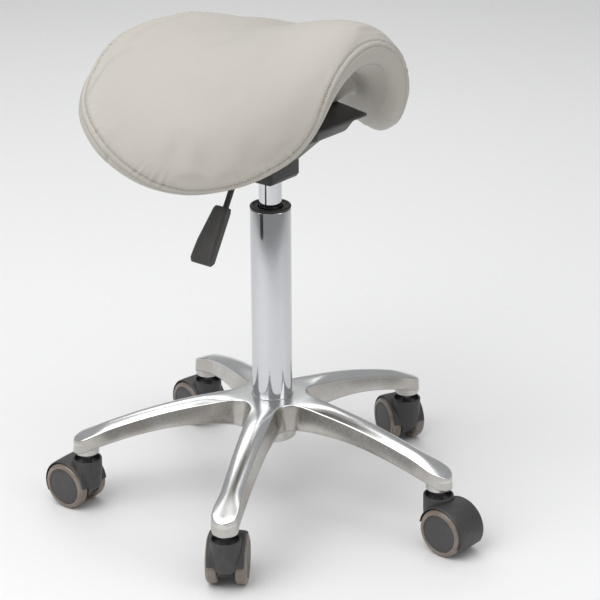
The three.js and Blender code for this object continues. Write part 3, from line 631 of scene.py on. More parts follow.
def softened(node, material, width, segments=3, name=None):
    working = bmesh.new()
    working.from_mesh(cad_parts[node].data)
    bmesh.ops.remove_doubles(working, verts=working.verts, dist=2e-6)
    bmesh.ops.dissolve_limit(
        working, angle_limit=math.radians(1.2), verts=working.verts, edges=working.edges)
    mesh = bpy.data.meshes.new(name or node + "_finished")
    working.to_mesh(mesh)
    working.free()
    mesh.materials.append(material)
    made = bpy.data.objects.new(mesh.name, mesh)
    bpy.context.scene.collection.objects.link(made)
    bevel(made, width, segments, SOFTENED_OVER)
    settle(made)
    smooth(made, math.radians(50))
    return made


# %% [markdown]
# ## The five-arm base
# One half of one arm is a patch, and ten copies of it, mirrored and turned, make the star. Lines
# run across the arm at constant distance from the column, so the arch of the arms is a function of
# that distance alone, and neighbouring patches meet exactly on the line between two arms.
# %% The arch of an arm
ARMS = 5
HALF_STEP = math.pi / ARMS
HUB_TOP, ARM_DROP, ARM_DEPTH, ROOT_DEPTH = 148.0, 45.0, 20.0, 16.0
BORE_RADIUS = 25.15
ROOT_WIDTH, TIP_WIDTH, BAY_RADIUS = 20.5, 16.7, 18.0
BAY_CENTRE = (ROOT_WIDTH + BAY_RADIUS) / math.sin(HALF_STEP)
CROWN, EDGE_SAG = 4.2, 1.4
EDGE_RADIUS, DRAFT, LIP = 2.4, 4.3, 4.2
EDGE_LEAN, EDGE_UPRIGHT = math.radians(24), math.radians(84)
ROOF = 5.5
RIBS = (92.0, 128.0, 164.0, 198.0)


def step(low, high, value):
    t = np.clip((np.asarray(value, float) - low) / (high - low), 0, 1)
    return t * t * (3 - 2 * t)


def arm_top(radius):
    along = np.clip((radius - 33) / (HUB_TO_STEM - 33), 0, None)
    return HUB_TOP - ARM_DROP * along ** 1.75


def arm_bottom(radius):
    inward = np.clip(1 - (radius - 40) / (HUB_TO_STEM - 40), 0, 1)
    return arm_top(radius) - ARM_DEPTH - ROOT_DEPTH * inward ** 3


# %% [markdown]
# The edge of the patch starts at the column, runs out between the arms to the bay, round the bay's
# fillet, down the arm's side and round its tip. An inset moves it in from the outline, which gives
# the walls their draft: castings taper so that they leave the mould.
# %% The edge of the patch
def stations():
    """[part, share] pairs along the edge of the patch."""
    web = [("web", t) for t in (0, 0.03, 0.06, 0.1, 0.2, 0.35, 0.5, 0.65, 0.8, 0.9)]
    bay = [("bay", t) for t in np.linspace(0, 1, 14, endpoint=False)]
    first, last = BAY_CENTRE * math.cos(HALF_STEP), HUB_TO_STEM
    marks = list(np.linspace(first, last, 54, endpoint=False))
    for rib in RIBS:
        marks += [rib - 2.6, rib - 1.7, rib + 1.7, rib + 2.6]
    side = [("side", (mark - first) / (last - first)) for mark in sorted(marks)]
    tip = [("tip", t) for t in np.linspace(0, 1, 14)]
    return web + bay + side + tip


def edge_point(part, share, inset):
    if part == "web":
        reach = BORE_RADIUS + (BAY_CENTRE - BAY_RADIUS - inset - BORE_RADIUS) * share
        return reach * math.cos(HALF_STEP), reach * math.sin(HALF_STEP)
    if part == "bay":
        turn = math.pi + HALF_STEP + (math.pi / 2 - HALF_STEP) * share
        size = BAY_RADIUS + inset
        return (BAY_CENTRE * math.cos(HALF_STEP) + size * math.cos(turn),
                BAY_CENTRE * math.sin(HALF_STEP) + size * math.sin(turn))
    if part == "side":
        start = BAY_CENTRE * math.cos(HALF_STEP)
        return start + (HUB_TO_STEM - start) * share, ROOT_WIDTH + (TIP_WIDTH - ROOT_WIDTH) * share - inset
    turn = math.pi / 2 * (1 - share)
    size = TIP_WIDTH - inset
    return HUB_TO_STEM + size * math.cos(turn), size * math.sin(turn)


def draft_at(part, share):
    if part == "tip":
        return 0.9
    if part == "side":
        return DRAFT - (DRAFT - 0.9) * float(step(0.80, 0.98, share))
    return DRAFT


def across(point, share):
    """A point on the line from the arm's middle to an edge point, at constant distance."""
    reach, turn = math.hypot(*point), math.atan2(point[1], point[0])
    inner = HUB_TO_STEM + (reach - HUB_TO_STEM) * 0.5 if reach > HUB_TO_STEM else reach
    here = inner + (reach - inner) * share
    return here * math.cos(turn * share), here * math.sin(turn * share)


# %% [markdown]
# Heights over the patch: the top is crowned and has a fine chamfer round the column, the underside
# is hollow with cross ribs, and the wall between them starts with a rounded edge.
# %% Heights over the patch
def top_height(x, y, share):
    radius = math.hypot(x, y)
    ramp = float(step(44, 92, radius))
    rounding = 1 - 0.75 * float(step(205, 248, radius))
    chamfer = 0.7 * (1 - float(step(BORE_RADIUS, BORE_RADIUS + 1.1, radius)))
    return float(arm_top(radius)) - EDGE_SAG * ramp + CROWN * ramp * rounding * (1 - share ** 2) - chamfer


def arm_under_height(x, y, share):
    radius = math.hypot(x, y)
    low = float(arm_bottom(radius))
    open_length = float(step(58, 66, radius)) * (1 - float(step(208, 214, radius)))
    rib = max(1 - float(step(1.5, 2.5, abs(radius - mark))) for mark in RIBS)
    open_width = float(step(0.0, 0.2, 1 - share))
    roof = float(arm_top(radius)) - ROOF
    return low + (roof - low) * open_length * open_width * (1 - rib * 0.72)


def rounded_inset(draft, turn):
    """How far in from the outline the rounded edge is, where its surface has turned this far."""
    return draft + EDGE_RADIUS * (math.sin(EDGE_UPRIGHT) - math.sin(turn))


def wall_points(part, share):
    """[x, y, z, polish] down the wall, from the top sheet to the inner edge of its lip."""
    draft = draft_at(part, share)
    first = edge_point(part, share, rounded_inset(draft, EDGE_LEAN))
    top = top_height(*first, 1.0)
    made = []
    for t in np.linspace(0, 1, 6):
        turn = EDGE_LEAN + (EDGE_UPRIGHT - EDGE_LEAN) * t
        drop = EDGE_RADIUS * (math.cos(EDGE_LEAN) - math.cos(turn))
        made.append((*edge_point(part, share, rounded_inset(draft, turn)), top - drop, 1 - t * t))
    shoulder = made[-1][2]
    foot = edge_point(part, share, 0)
    low = float(arm_bottom(math.hypot(*foot)))
    for t in (0.12, 0.3, 0.5, 0.7, 0.88, 1.0):
        inset = draft * (1 - t) ** 1.3
        made.append((*edge_point(part, share, inset), shoulder + (low + 1.3 - shoulder) * t, 0))
    made.append((*edge_point(part, share, 0.5), low + 0.35, 0))
    inside = edge_point(part, share, 1.5)
    made.append((*inside, low, 0))
    end = edge_point(part, share, LIP)
    made.append((*end, arm_under_height(*end, 1.0), 0))
    return made


# %% [markdown]
# The three sheets are filled with faces, copied round and welded. The polish attribute goes in at
# the same time.
# %% Building the star
def sheet_faces(rows, columns, offset):
    return [(offset + r * columns + c, offset + r * columns + c + 1,
             offset + (r + 1) * columns + c + 1, offset + (r + 1) * columns + c)
            for r in range(rows - 1) for c in range(columns - 1)]


def half_arm():
    points, faces = [], []
    marks = stations()
    top_shares = np.linspace(0, 1, 12)
    for part, share in marks:
        edge = edge_point(part, share, rounded_inset(draft_at(part, share), EDGE_LEAN))
        for s in top_shares:
            x, y = across(edge, s)
            points.append((x, y, top_height(x, y, s), 1))
    faces += sheet_faces(len(marks), len(top_shares), 0)
    offset = len(points)
    under_shares = (1, 0.975, 0.94, 0.9, 0.86, 0.83, 0.8, 0.6, 0.4, 0.2, 0)
    for part, share in marks:
        edge = edge_point(part, share, LIP)
        for s in under_shares:
            x, y = across(edge, s)
            points.append((x, y, arm_under_height(x, y, s), 0))
    faces += sheet_faces(len(marks), len(under_shares), offset)
    offset = len(points)
    walls = [mark for mark in marks if mark[0] != "web"]
    down = [wall_points(*mark) for mark in walls]
    points += [point for line in down for point in line]
    faces += sheet_faces(len(walls), len(down[0]), offset)
    return np.array(points), faces


def star_arms():
    points, faces = half_arm()
    everything, all_faces = [], []
    for arm in range(ARMS):
        turn = FIRST_ARM + arm * 2 * HALF_STEP
        cos, sin = math.cos(turn), math.sin(turn)
        for mirror in (1, -1):
            x, y = points[:, 0], points[:, 1] * mirror
            placed = np.stack([x * cos - y * sin, x * sin + y * cos, points[:, 2], points[:, 3]], 1)
            offset = len(everything) * len(points)
            everything.append(placed)
            all_faces += [tuple(offset + i for i in face) for face in faces]
    merged = np.concatenate(everything)
    made = make_piece("base_arms", merged[:, :3], all_faces, ALUMINIUM, place=Matrix.Translation(AXIS))
    polish = made.data.attributes.new("polish", "FLOAT", "POINT")
    polish.data.foreach_set("value", merged[:, 3].astype(np.float32))
    outward(made, weld=2e-6)
    return made


def close_bore(piece):
    """Joins the top sheet's inner circle to the underside's, inside the hub."""
    working = bmesh.new()
    working.from_mesh(piece.data)
    rims = [edge for edge in working.edges if edge.is_boundary]
    bmesh.ops.bridge_loops(working, edges=rims)
    bmesh.ops.recalc_face_normals(working, faces=working.faces)
    left = sum(edge.is_boundary for edge in working.edges)
    working.to_mesh(piece.data)
    working.free()
    print("star: open edges left", left)


# %% [markdown]
# The hub is a ring below the arms, and each tip has a boss round the castor's stem. They are turned
# pieces that run up into the casting.
# %% Hub, bosses and the finished base
HUB_BORE, HUB_FOOT, HUB_INSIDE = 24.4, 92, 130
SOCKET_RADIUS, BOSS_FOOT, BOSS_INSIDE = 5.9, 76.1, 93


def flag_polish(piece, value):
    polish = piece.data.attributes.new("polish", "FLOAT", "POINT")
    polish.data.foreach_set("value", np.full(len(piece.data.vertices), value, np.float32))


def star_base():
    arms = star_arms()
    close_bore(arms)
    hub = [(HUB_BORE, HUB_FOOT, 0.4), (29.4, HUB_FOOT, 1.2), (29.7, 104), (30.6, 118), (27, HUB_INSIDE),
           (HUB_BORE, HUB_INSIDE)]
    pieces = [arms, turned("hub_ring", hub, ALUMINIUM, place=Matrix.Translation(AXIS), closed=True)]
    for k in CASTORS:
        boss = [(SOCKET_RADIUS, BOSS_FOOT, 0.5), (15.6, BOSS_FOOT, 1.4), (16.2, 84), (16.2, BOSS_INSIDE),
                (SOCKET_RADIUS, BOSS_INSIDE)]
        pieces.append(turned(f"boss_{k}", boss, ALUMINIUM, steps=64, closed=True,
                             place=Matrix.Translation(STEMS[k])))
    for piece in pieces[1:]:
        flag_polish(piece, 0.25)
    made = joined("star_base_casting", pieces)
    smooth(made, math.radians(46))
    return keep(made, "base", "polished_aluminium", "star_base")


base = star_base()
print("base casting:", len(base.data.polygons), "faces")

# %% [markdown]
# ## Column and gas lift
# A chromed tube stands in the hub. A black collar with a dished top guides the gas cylinder, which
# rises through it and ends in a taper inside the seat's housing.
# %% Column
COLUMN_RADIUS, COLUMN_FOOT, COLUMN_TOP = 25, 95.2, 394
CYLINDER_RADIUS, CYLINDER_FOOT, CYLINDER_TOP = 14, 123, 468
CYLINDER_BORE, TAPER_START, TAPER_RADIUS = 11.2, 433, 13
ON_AXIS = Matrix.Translation(AXIS)


def column():
    tube = [(21.6, COLUMN_FOOT), (23.6, COLUMN_FOOT), (COLUMN_RADIUS, 148, 3), (COLUMN_RADIUS, 392.6, 0),
            (24.6, 393.7, 0.8), (23.2, COLUMN_TOP), (23, 392), (23, 150), (21.6, 144)]
    made = turned("column_chrome", tube, CHROME_TUBE, steps=160, place=ON_AXIS, closed=True, radius=0.4)
    keep(made, "base", "chrome_tube", "column_tube")
    collar = [(15.9, 394.4), (24.4, 394.3, 0.3), (25.1, 394.6, 0.4), (25.35, 396.2, 0.7),
              (24.2, 397.7, 1.2), (21.9, 397.8, 0.9), (20.3, 396.2, 0.8), (17.2, 395.3, 0.6),
              (15.9, 395.5, 0.3)]
    ring = turned("column_mouth_collar", collar, BLACK_PLASTIC, steps=128, place=ON_AXIS, closed=True)
    keep(ring, "base", "black_plastic", "column_collar")


def gas_cylinder():
    body = [(5.4, CYLINDER_FOOT), (13, CYLINDER_FOOT, 0.8), (CYLINDER_RADIUS, 124.2, 0.8),
            (CYLINDER_RADIUS, TAPER_START, 2), (TAPER_RADIUS, CYLINDER_TOP, 0.8), (3.6, CYLINDER_TOP, 0.4),
            (3.6, 455), (1, 454), (1, 428), (CYLINDER_BORE, 428), (CYLINDER_BORE, 127), (5.4, 127)]
    made = turned("gas_cylinder_chrome", body, CHROME_PISTON, steps=128, place=ON_AXIS, closed=True,
                  radius=0.3)
    keep(made, "lift", "chrome_tube", "gas_cylinder")


column()
gas_cylinder()

# %% [markdown]
# ## Castors
# A castor is made once in its own frame, with the stem on Z, the wheels trailing towards +X and the
# axle along Y. Each of the five copies is then baked into its place. The hood is a dome over both
# wheels joined to a barrel with an open cup, and the wheels' space is cut out of it with Booleans.
# %% Castor sizes
TRAIL = (flat(AXLES[1]) - STEMS[1]).length / MM
AXLE_HEIGHT = AXLES[1].z / MM
WHEEL_RADIUS, WHEEL_INNER, WHEEL_GAP = 30.0, 10.2, 1.5
HOOD_RADIUS, HOOD_HALF_WIDTH, BESIDE_HOOD = 33.6, 22.8, 40
WEB_RADIUS, WEB_SIDE = 29.8, WHEEL_INNER - 0.8
BARREL_RADIUS, CUP_RIM = 18.5, 68.0
AXLE_TURN = Matrix.Translation((TRAIL * MM, 0, AXLE_HEIGHT * MM)) @ Matrix.Rotation(math.pi / 2, 4, "X")


def castor_place(k):
    trail = AXLES[k] - STEMS[k]
    return Matrix.Translation(STEMS[k]) @ Matrix.Rotation(math.atan2(trail.y, trail.x), 4, "Z")


def cut(piece, tool, operation="DIFFERENCE"):
    made = piece.modifiers.new("cut", "BOOLEAN")
    made.operation = operation
    made.object = tool
    made.solver = "EXACT"
    settle(piece)
    bpy.data.objects.remove(tool)


# %% [markdown]
# The dome's edge is rounded in its own profile: the section across the wheels is a flat-topped arch
# with round shoulders, and it is swept round the axle from the heel to the front.
# %% Hood
def hood_dome():
    half = [(HOOD_HALF_WIDTH, 12), (HOOD_HALF_WIDTH, HOOD_RADIUS - 0.6, 3.6), (12, HOOD_RADIUS, 6)]
    section = rounded([(-y, *rest) for y, *rest in half] + half[::-1], 2)
    turns = np.radians(np.linspace(-27, 172, 60))
    points = [(TRAIL + r * math.cos(t), y, AXLE_HEIGHT + r * math.sin(t))
              for t in turns for y, r in section]
    columns = len(section)
    faces = sheet_faces(len(turns), columns, 0)
    last = (len(turns) - 1) * columns
    faces += [(r * columns, (r + 1) * columns, (r + 1) * columns + columns - 1, r * columns + columns - 1)
              for r in range(len(turns) - 1)]
    faces += [tuple(range(columns)), tuple(range(last + columns - 1, last - 1, -1))]
    made = make_piece("hood", points, faces, HOOD_PLASTIC)
    outward(made)
    return made


def hood_web():
    turns = np.radians(np.linspace(-22, 200, 48))
    rim = [(TRAIL + WEB_RADIUS * math.cos(t), AXLE_HEIGHT + WEB_RADIUS * math.sin(t)) for t in turns]
    return extruded("web", rim, 2 * WEB_SIDE, Matrix.Rotation(math.pi / 2, 4, "X"), HOOD_PLASTIC)


def hood():
    made = hood_dome()
    cut(made, hood_web(), "UNION")
    barrel = [(0, 26), (10.5, 26, 2), (16.5, 30.5, 4), (BARREL_RADIUS - 0.2, 48),
              (BARREL_RADIUS, CUP_RIM, 1.1), (0, CUP_RIM)]
    cut(made, turned("barrel", barrel, HOOD_PLASTIC, steps=72), "UNION")
    for side in (1, -1):
        near, far = side * WEB_SIDE, side * BESIDE_HOOD
        reach = WHEEL_RADIUS + WHEEL_GAP
        space = [(0, near), (reach, near, 0.8), (reach, far), (0, far)]
        cut(made, turned("wheel_space", space, HOOD_PLASTIC, steps=96, place=AXLE_TURN))
    cup = [(0, 61), (6.5, 61), (BARREL_RADIUS - 2.6, 61.4, 1), (BARREL_RADIUS - 1.7, 80), (0, 80)]
    cut(made, turned("cup", cup, HOOD_PLASTIC, steps=72))
    well = [(0, 34), (5.9, 34), (5.9, 70), (0, 70)]
    cut(made, turned("well", well, HOOD_PLASTIC, steps=32))
    bevel(made, 0.45, segments=2, angle=42)
    settle(made)
    smooth(made, math.radians(40))
    return made


HOOD = hood()
print("hood:", len(HOOD.data.polygons), "faces")

# %% [markdown]
# Each wheel is a grey disc inside a glossy tread ring. Both are turned on the axle, one on each side
# of the hood's web, and a 1.5 mm gap is left under the hood so that they turn freely.
# %% Wheels and the five castors
TREAD_OUTLINE = [(23.6, 10.4), (28.2, 10.4, 1.2), (30, 12.6, 2.4), (30, 21.4, 3.4), (27.9, 24.3, 2.4),
                 (24.3, 24.6, 1.0), (23.6, 23.9)]
DISC_OUTLINE = [(3.4, 10.7), (23.3, 10.7), (23.3, 23.9, 0.5), (22.5, 24.2, 0.4), (21.4, 24.2, 0.3),
                (21.1, 23.85, 0.2), (20.6, 23.85, 0.2), (20.2, 24.15, 0.3), (9.0, 24.22, 0.3), (0, 24.3)]
DISC_BACK = [(0, 21.3), (3.4, 21.3), (3.4, 10.7)]


def wheel(k, label, side):
    place = castor_place(k) @ AXLE_TURN
    body = f"wheel_{k}_{label}"
    flip = [(r, -side * z, *rest) for r, z, *rest in TREAD_OUTLINE]
    tread = turned(f"tread_ring_{k}_{label}", flip, TREAD, steps=96, place=place, closed=True, radius=0.4)
    keep(tread, body, "tread_polyurethane", f"wheel_tread_{k}_{label}")
    face = [(r, -side * z, *rest) for r, z, *rest in DISC_BACK[:2] + DISC_OUTLINE]
    disc = turned(f"wheel_disc_{k}_{label}", face, DISC_PLASTIC, steps=96, place=place, radius=0.3)
    keep(disc, body, "castor_disc_plastic", f"wheel_core_{k}_{label}")


def castor(k):
    mesh = HOOD.data.copy()
    mesh.transform(castor_place(k))
    made = bpy.data.objects.new(f"castor_hood_shell_{k}", mesh)
    bpy.context.scene.collection.objects.link(made)
    keep(made, f"castor_{k}", "castor_hood_plastic", f"castor_hood_{k}")
    wheel(k, "left", 1)
    wheel(k, "right", -1)


for k in CASTORS:
    castor(k)
bpy.data.objects.remove(HOOD)
print("castors made:", len(CASTORS))

# %% [markdown]
# ## Seat mechanism
# The black box on top of the gas lift, the folded bracket that tilts on its nose, and the plate that
# carries the seat are sheet steel. Their shapes are the CAD model's, with pressed edges.
# %% Mechanism
keep(softened("mechanism_housing", POWDER_COAT, 0.9), "lift", "black_painted_steel", "mechanism_housing")
keep(softened("upper_bracket", POWDER_COAT, 0.9), "seat", "black_painted_steel", "upper_bracket")
keep(softened("seat_plate", POWDER_COAT, 0.7), "seat", "black_painted_steel", "seat_plate")
keep(softened("tilt_pin", STEEL, 0.5), "lift", "bright_steel", "tilt_pin")
for number in range(1, 5):
    bolt = softened(f"seat_bolt_{number}", STEEL, 0.5, segments=2)
    keep(bolt, "seat", "bright_steel", f"seat_bolt_{number}")

# %% [markdown]
# The release lever is a bent rod with a moulded paddle. The rod is a circle swept along the bend,
# and the paddle is lofted: each cross-section has a ridge over the rod and falls off to a thin edge,
# and the sections shrink into chamfers at both ends.
# %% Lever
LEVER_HEIGHT, LEVER_RADIUS, LEVER_ELBOW = 478.0, 3.6, 47.0
LEVER_BEND, LEVER_LENGTH = 14.0, 122.0
LEVER_FALL = math.radians(60)
PADDLE_START, PADDLE_LENGTH = 71.0, 72
ROD_STEPS = 32


def lever_along(distance):
    out, down = distance * math.cos(LEVER_FALL), distance * math.sin(LEVER_FALL)
    return np.array([-LEVER_ELBOW - out, LEVER_HEIGHT - down])


def lever_path():
    first = np.array([-LEVER_ELBOW + LEVER_BEND, LEVER_HEIGHT])
    corner, last = lever_along(0), lever_along(LEVER_BEND)
    bend = [(1 - t) ** 2 * first + 2 * t * (1 - t) * corner + t * t * last for t in np.linspace(0, 1, 16)]
    return [np.array([5.5, LEVER_HEIGHT]), *bend, lever_along(LEVER_LENGTH - 20)]


def lever_rod():
    path = np.array(lever_path())
    heading = np.gradient(path, axis=0)
    heading /= np.linalg.norm(heading, axis=1)[:, None]
    angles = np.arange(ROD_STEPS) / ROD_STEPS * 2 * math.pi
    rings = []
    ends = [(0, 0.0), (0, LEVER_RADIUS - 0.5), (0.4, LEVER_RADIUS)]
    stations_along = [(path[0] + heading[0] * d, heading[0], r) for d, r in ends]
    stations_along += [(p, h, LEVER_RADIUS) for p, h in zip(path[1:-1], heading[1:-1])]
    stations_along += [(path[-1] - heading[-1] * d, heading[-1], r) for d, r in reversed(ends)]
    for point, ahead, size in stations_along:
        for angle in angles:
            up = math.cos(angle) * size
            rings.append((point[0] - ahead[1] * up, math.sin(angle) * size, point[1] + ahead[0] * up))
    faces = ring_faces(len(stations_along), ROD_STEPS)
    made = make_piece("lever_bent_rod", rings, faces, POWDER_COAT, place=ON_AXIS)
    outward(made)
    keep(made, "lever", "black_painted_steel", "lever_rod")


def paddle_section(along):
    """[across, out] round the paddle at a distance from its top."""
    near = np.interp(along, [0, 6, 67, PADDLE_LENGTH], [-5.5, -6.5, -7, -4])
    far = np.interp(along, [0, 2, 48, 67, PADDLE_LENGTH], [13, 15, 25, 27, 24.5])
    ridge = np.interp(along, [0, 3, 44, 68, PADDLE_LENGTH], [5.2, 6.5, 6.4, 4.6, 3.2])
    edge = np.interp(along, [0, 3, 44, 68, PADDLE_LENGTH], [3.4, 4.6, 3.9, 2.6, 1.8])
    back = np.interp(along, [0, 3, 68, PADDLE_LENGTH], [-5.2, -6.4, -6.2, -4.8])
    return [(near, back + 1.8), (near, ridge - 2.6), (near + 2.4, ridge - 0.4), (0.6, ridge),
            (far - 3.2, edge + 0.7), (far, edge - 1.4), (far, back + 1.8), (far - 2, back),
            (near + 2, back)]


def lever_paddle():
    marks = [0, 2, 6, 18, 30, 44, 46, 56, 67, 70, PADDLE_LENGTH]
    sections = [paddle_section(mark) for mark in marks]
    points = []
    for mark, section in zip(marks, sections):
        x, z = lever_along(PADDLE_START + mark)
        for across_blade, out in section:
            points.append((x - out * math.sin(LEVER_FALL), across_blade, z + out * math.cos(LEVER_FALL)))
    size = len(sections[0])
    faces = ring_faces(len(marks), size)
    faces += [tuple(range(size)), tuple(range(len(points) - 1, len(points) - size - 1, -1))]
    made = make_piece("lever_paddle", points, faces, PADDLE_PLASTIC, place=ON_AXIS)
    outward(made)
    bevel(made, 0.7, segments=3, angle=14)
    settle(made)
    smooth(made, math.radians(30))
    keep(made, "lever", "black_plastic", "lever_handle")


lever_rod()
lever_paddle()

# %% [markdown]
# ## The saddle seat
# The seat's middle surface is a spine that rises to the pommel, with a curve falling away on each
# side of it. A point is named by its share of the way to the outline, its direction, and its height
# off that surface, so cushion, lining and seam all follow one rule.
# %% The saddle's surface
SEAT_HEIGHT, SEAT_SHIFT = 568.0, -16.0
SEAT_HALF_LENGTH, SEAT_HALF_WIDTH = 165.0, 239.0
SEAT_CROWN, BORDER_DEPTH, UNDER_BULGE = 37.0, 24.0, 6.0
FLARE = -8e-8
SIMPSON = np.array([1, 4, 2, 4, 2, 4, 1]) / 18
SIXTHS = np.arange(7) / 6


def saddle_middle(along, across):
    a = along / 100
    bend = (5.07 + 3.8 * a + 0.7 * a * a) * 1e-3
    t = across[..., None] * SIXTHS
    slope = bend[..., None] * t + FLARE * t ** 3
    side = (SIMPSON * np.cos(slope)).sum(-1) * across
    fall = (SIMPSON * np.sin(slope)).sum(-1) * across
    spine = SEAT_HEIGHT + 23 * a + 13.8 * a * a - 6.5 * a ** 3
    return np.stack([side, -(along + SEAT_SHIFT), spine - fall], -1)


def signed_power(value, power):
    return np.sign(value) * np.abs(value) ** power


def saddle_point(reach, turn, height):
    c, s = signed_power(np.cos(turn), 0.95), signed_power(np.sin(turn), 0.56)
    waist = 1 - 0.1435 * c - 0.25 * c * c + 0.29 * c ** 3
    along = reach * SEAT_HALF_LENGTH * c
    across = reach * SEAT_HALF_WIDTH * waist * s
    half = 0.5
    lengthwise = saddle_middle(along + half, across) - saddle_middle(along - half, across)
    sideways = saddle_middle(along, across + half) - saddle_middle(along, across - half)
    normal = np.cross(sideways, lengthwise)
    normal /= np.linalg.norm(normal, axis=-1)[..., None]
    normal = np.where(normal[..., 2:] < 0, -normal, normal)
    return saddle_middle(along, across) + normal * np.asarray(height)[..., None]


# %% [markdown]
# The outline's corners are tighter than its sides, so equal angles would leave the points bunched.
# The directions are chosen for equal steps of length round the rim instead.
# %% Even steps round the rim
def even_turns(count):
    share = np.linspace(0, 1, 4000, endpoint=False)
    quarter = math.pi / 2 * np.unique(np.concatenate([share ** 3, 1 - share ** 2, share]))
    quarter = quarter[quarter < math.pi / 2 - 1e-9]
    right = math.pi / 2
    quarters = [quarter + right * n if n % 2 == 0 else right * (n + 1) - quarter[::-1] for n in range(4)]
    dense = np.unique(np.clip(np.concatenate(quarters), 0, 2 * math.pi - 1e-9))
    rim = saddle_point(np.ones_like(dense), dense, np.zeros_like(dense))
    gaps = np.linalg.norm(np.diff(rim, axis=0, append=rim[:1]), axis=1)
    lengths = np.concatenate([[0], np.cumsum(gaps)])
    wanted = np.arange(count) / count * lengths[-1]
    return np.interp(wanted, lengths[:-1], dense), lengths[-1]


AROUND = 720
TURNS, RIM_LENGTH = even_turns(AROUND)
print("rim:", round(RIM_LENGTH), "mm round")

# %% [markdown]
# The cushion's section is a crown above the rim and a rolled border below it, then a pocket for the
# shell. Its rows are about a millimetre apart beside the seam, where the needlework is, and up to
# nine millimetres apart elsewhere.
# %% The cushion's section
POCKET, POCKET_ROOF = 0.815, -7.7
ROW_REACH = 200.0


def crown_height(reach):
    return SEAT_CROWN * np.clip(1 - reach ** 2.8, 0, 1) ** 0.48


def under_height(reach):
    return -BORDER_DEPTH * np.clip(1 - reach ** 9, 0, 1) ** 0.42 - UNDER_BULGE * (1 - reach ** 2)


def seat_section():
    """[reach, height, distance from the rim] down the section, above the rim first."""
    roof, lip_steps = 200, 20
    t = np.linspace(0, 1, 900)
    top_reach = np.sin(t * math.pi / 2)
    under_reach = 1 - (1 - POCKET) * t[1:] ** 2
    lip_reach, roof_reach = np.full(lip_steps, POCKET), np.linspace(POCKET, 0, roof)
    reach = np.concatenate([top_reach, under_reach, lip_reach, roof_reach])
    lip = np.linspace(under_height(POCKET), POCKET_ROOF, lip_steps + 1)[1:]
    height = np.concatenate([
        crown_height(top_reach), under_height(under_reach), lip, np.full(roof, POCKET_ROOF)])
    gaps = np.hypot(np.diff(reach) * ROW_REACH, np.diff(height))
    lengths = np.concatenate([[0], np.cumsum(gaps)])
    return reach, height, lengths[len(t) - 1] - lengths


def row_places(first, last):
    places = [first]
    while places[-1] > last:
        gap = np.interp(places[-1], [-70, -40, -16, 24, 40, 90], [9, 3, 1.0, 1.0, 2.6, 6])
        places.append(places[-1] - gap)
    places[-1] = last
    return np.array(places)


REACHES, HEIGHTS, RIM_DISTANCE = seat_section()
ROWS = row_places(RIM_DISTANCE[0], RIM_DISTANCE[-1])
ROW_REACHES = np.interp(-ROWS, -RIM_DISTANCE, REACHES)
ROW_HEIGHTS = np.interp(-ROWS, -RIM_DISTANCE, HEIGHTS)
print("cushion rows:", len(ROWS))


def seat_grid(turns, reaches, heights):
    turn = np.broadcast_to(turns, (len(reaches), len(turns)))
    return saddle_point(reaches[:, None] * np.ones_like(turn), turn, heights[:, None] * np.ones_like(turn))


def grid_normals(grid):
    down = np.gradient(grid, axis=0)
    round_rim = np.roll(grid, -1, axis=1) - np.roll(grid, 1, axis=1)
    normal = np.cross(down, round_rim)
    length = np.linalg.norm(normal, axis=-1)[..., None]
    return normal / np.where(length > 0, length, 1)


# %% [markdown]
# Foam pushes a cover outwards while its seams hold it in. A cloth simulation of a slightly smaller
# cushion, blown up by a small pressure, gives that swelling. The simulated copy has been remeshed
# and has no seams, so the clean grid is laid against it, and takes the difference along its own
# normals.
# %% Blowing up the cover
SHRINK, VOXEL, SWELL_LIMIT = 2.0, 6.0, 4.0
BLANK_AROUND, LAST_FRAME = 180, 20


def cushion_blank():
    turns, _ = even_turns(BLANK_AROUND)
    top = np.sin(np.linspace(0.02, 1, 30) * math.pi / 2)
    below = 1 - 0.97 * np.linspace(0.06, 1, 24) ** 2
    heights = np.concatenate([crown_height(top) - SHRINK, under_height(below) + SHRINK])
    reaches = np.concatenate([top, below]) * (1 - SHRINK / ROW_REACH)
    grid = seat_grid(turns, reaches, heights)
    faces = ring_faces(len(reaches), BLANK_AROUND) + end_faces(len(reaches), BLANK_AROUND)
    made = make_piece("cushion_blank", grid.reshape(-1, 3), faces, COVER, place=ON_AXIS)
    outward(made)
    return made


def inflate(blank):
    remesh = blank.modifiers.new("remesh", "REMESH")
    remesh.mode = "VOXEL"
    remesh.voxel_size = VOXEL * MM
    settle(blank)
    start = np.array([vertex.co for vertex in blank.data.vertices])
    cloth = blank.modifiers.new("cloth", "CLOTH")
    cloth.settings.use_pressure = True
    cloth.settings.uniform_pressure_force = 4
    cloth.settings.effector_weights.gravity = 0
    cloth.point_cache.frame_start = 1
    cloth.point_cache.frame_end = LAST_FRAME
    for number in range(1, LAST_FRAME + 1):
        bpy.context.scene.frame_set(number)
    settle(blank)
    bpy.context.scene.frame_set(1)
    end = np.array([vertex.co for vertex in blank.data.vertices])
    moved = end - start
    size = np.linalg.norm(moved, axis=1)[:, None]
    limit = SWELL_LIMIT * 2 * MM
    end = start + moved * np.minimum(1, limit / np.maximum(size, 1e-9))
    blank.data.vertices.foreach_set("co", end.astype(np.float32).ravel())
    print("cloth moved up to", round(float(size.max()) / MM, 1), "mm")


def blurred(field, rows, columns):
    for _ in range(3):
        beside = [np.roll(field, shift, axis=1) for shift in range(-columns, columns + 1)]
        field = sum(beside) / len(beside)
        padded = np.pad(field, ((rows, rows), (0, 0)), mode="edge")
        stacked = [padded[i:i + len(field)] for i in range(2 * rows + 1)]
        field = sum(stacked) / len(stacked)
    return field


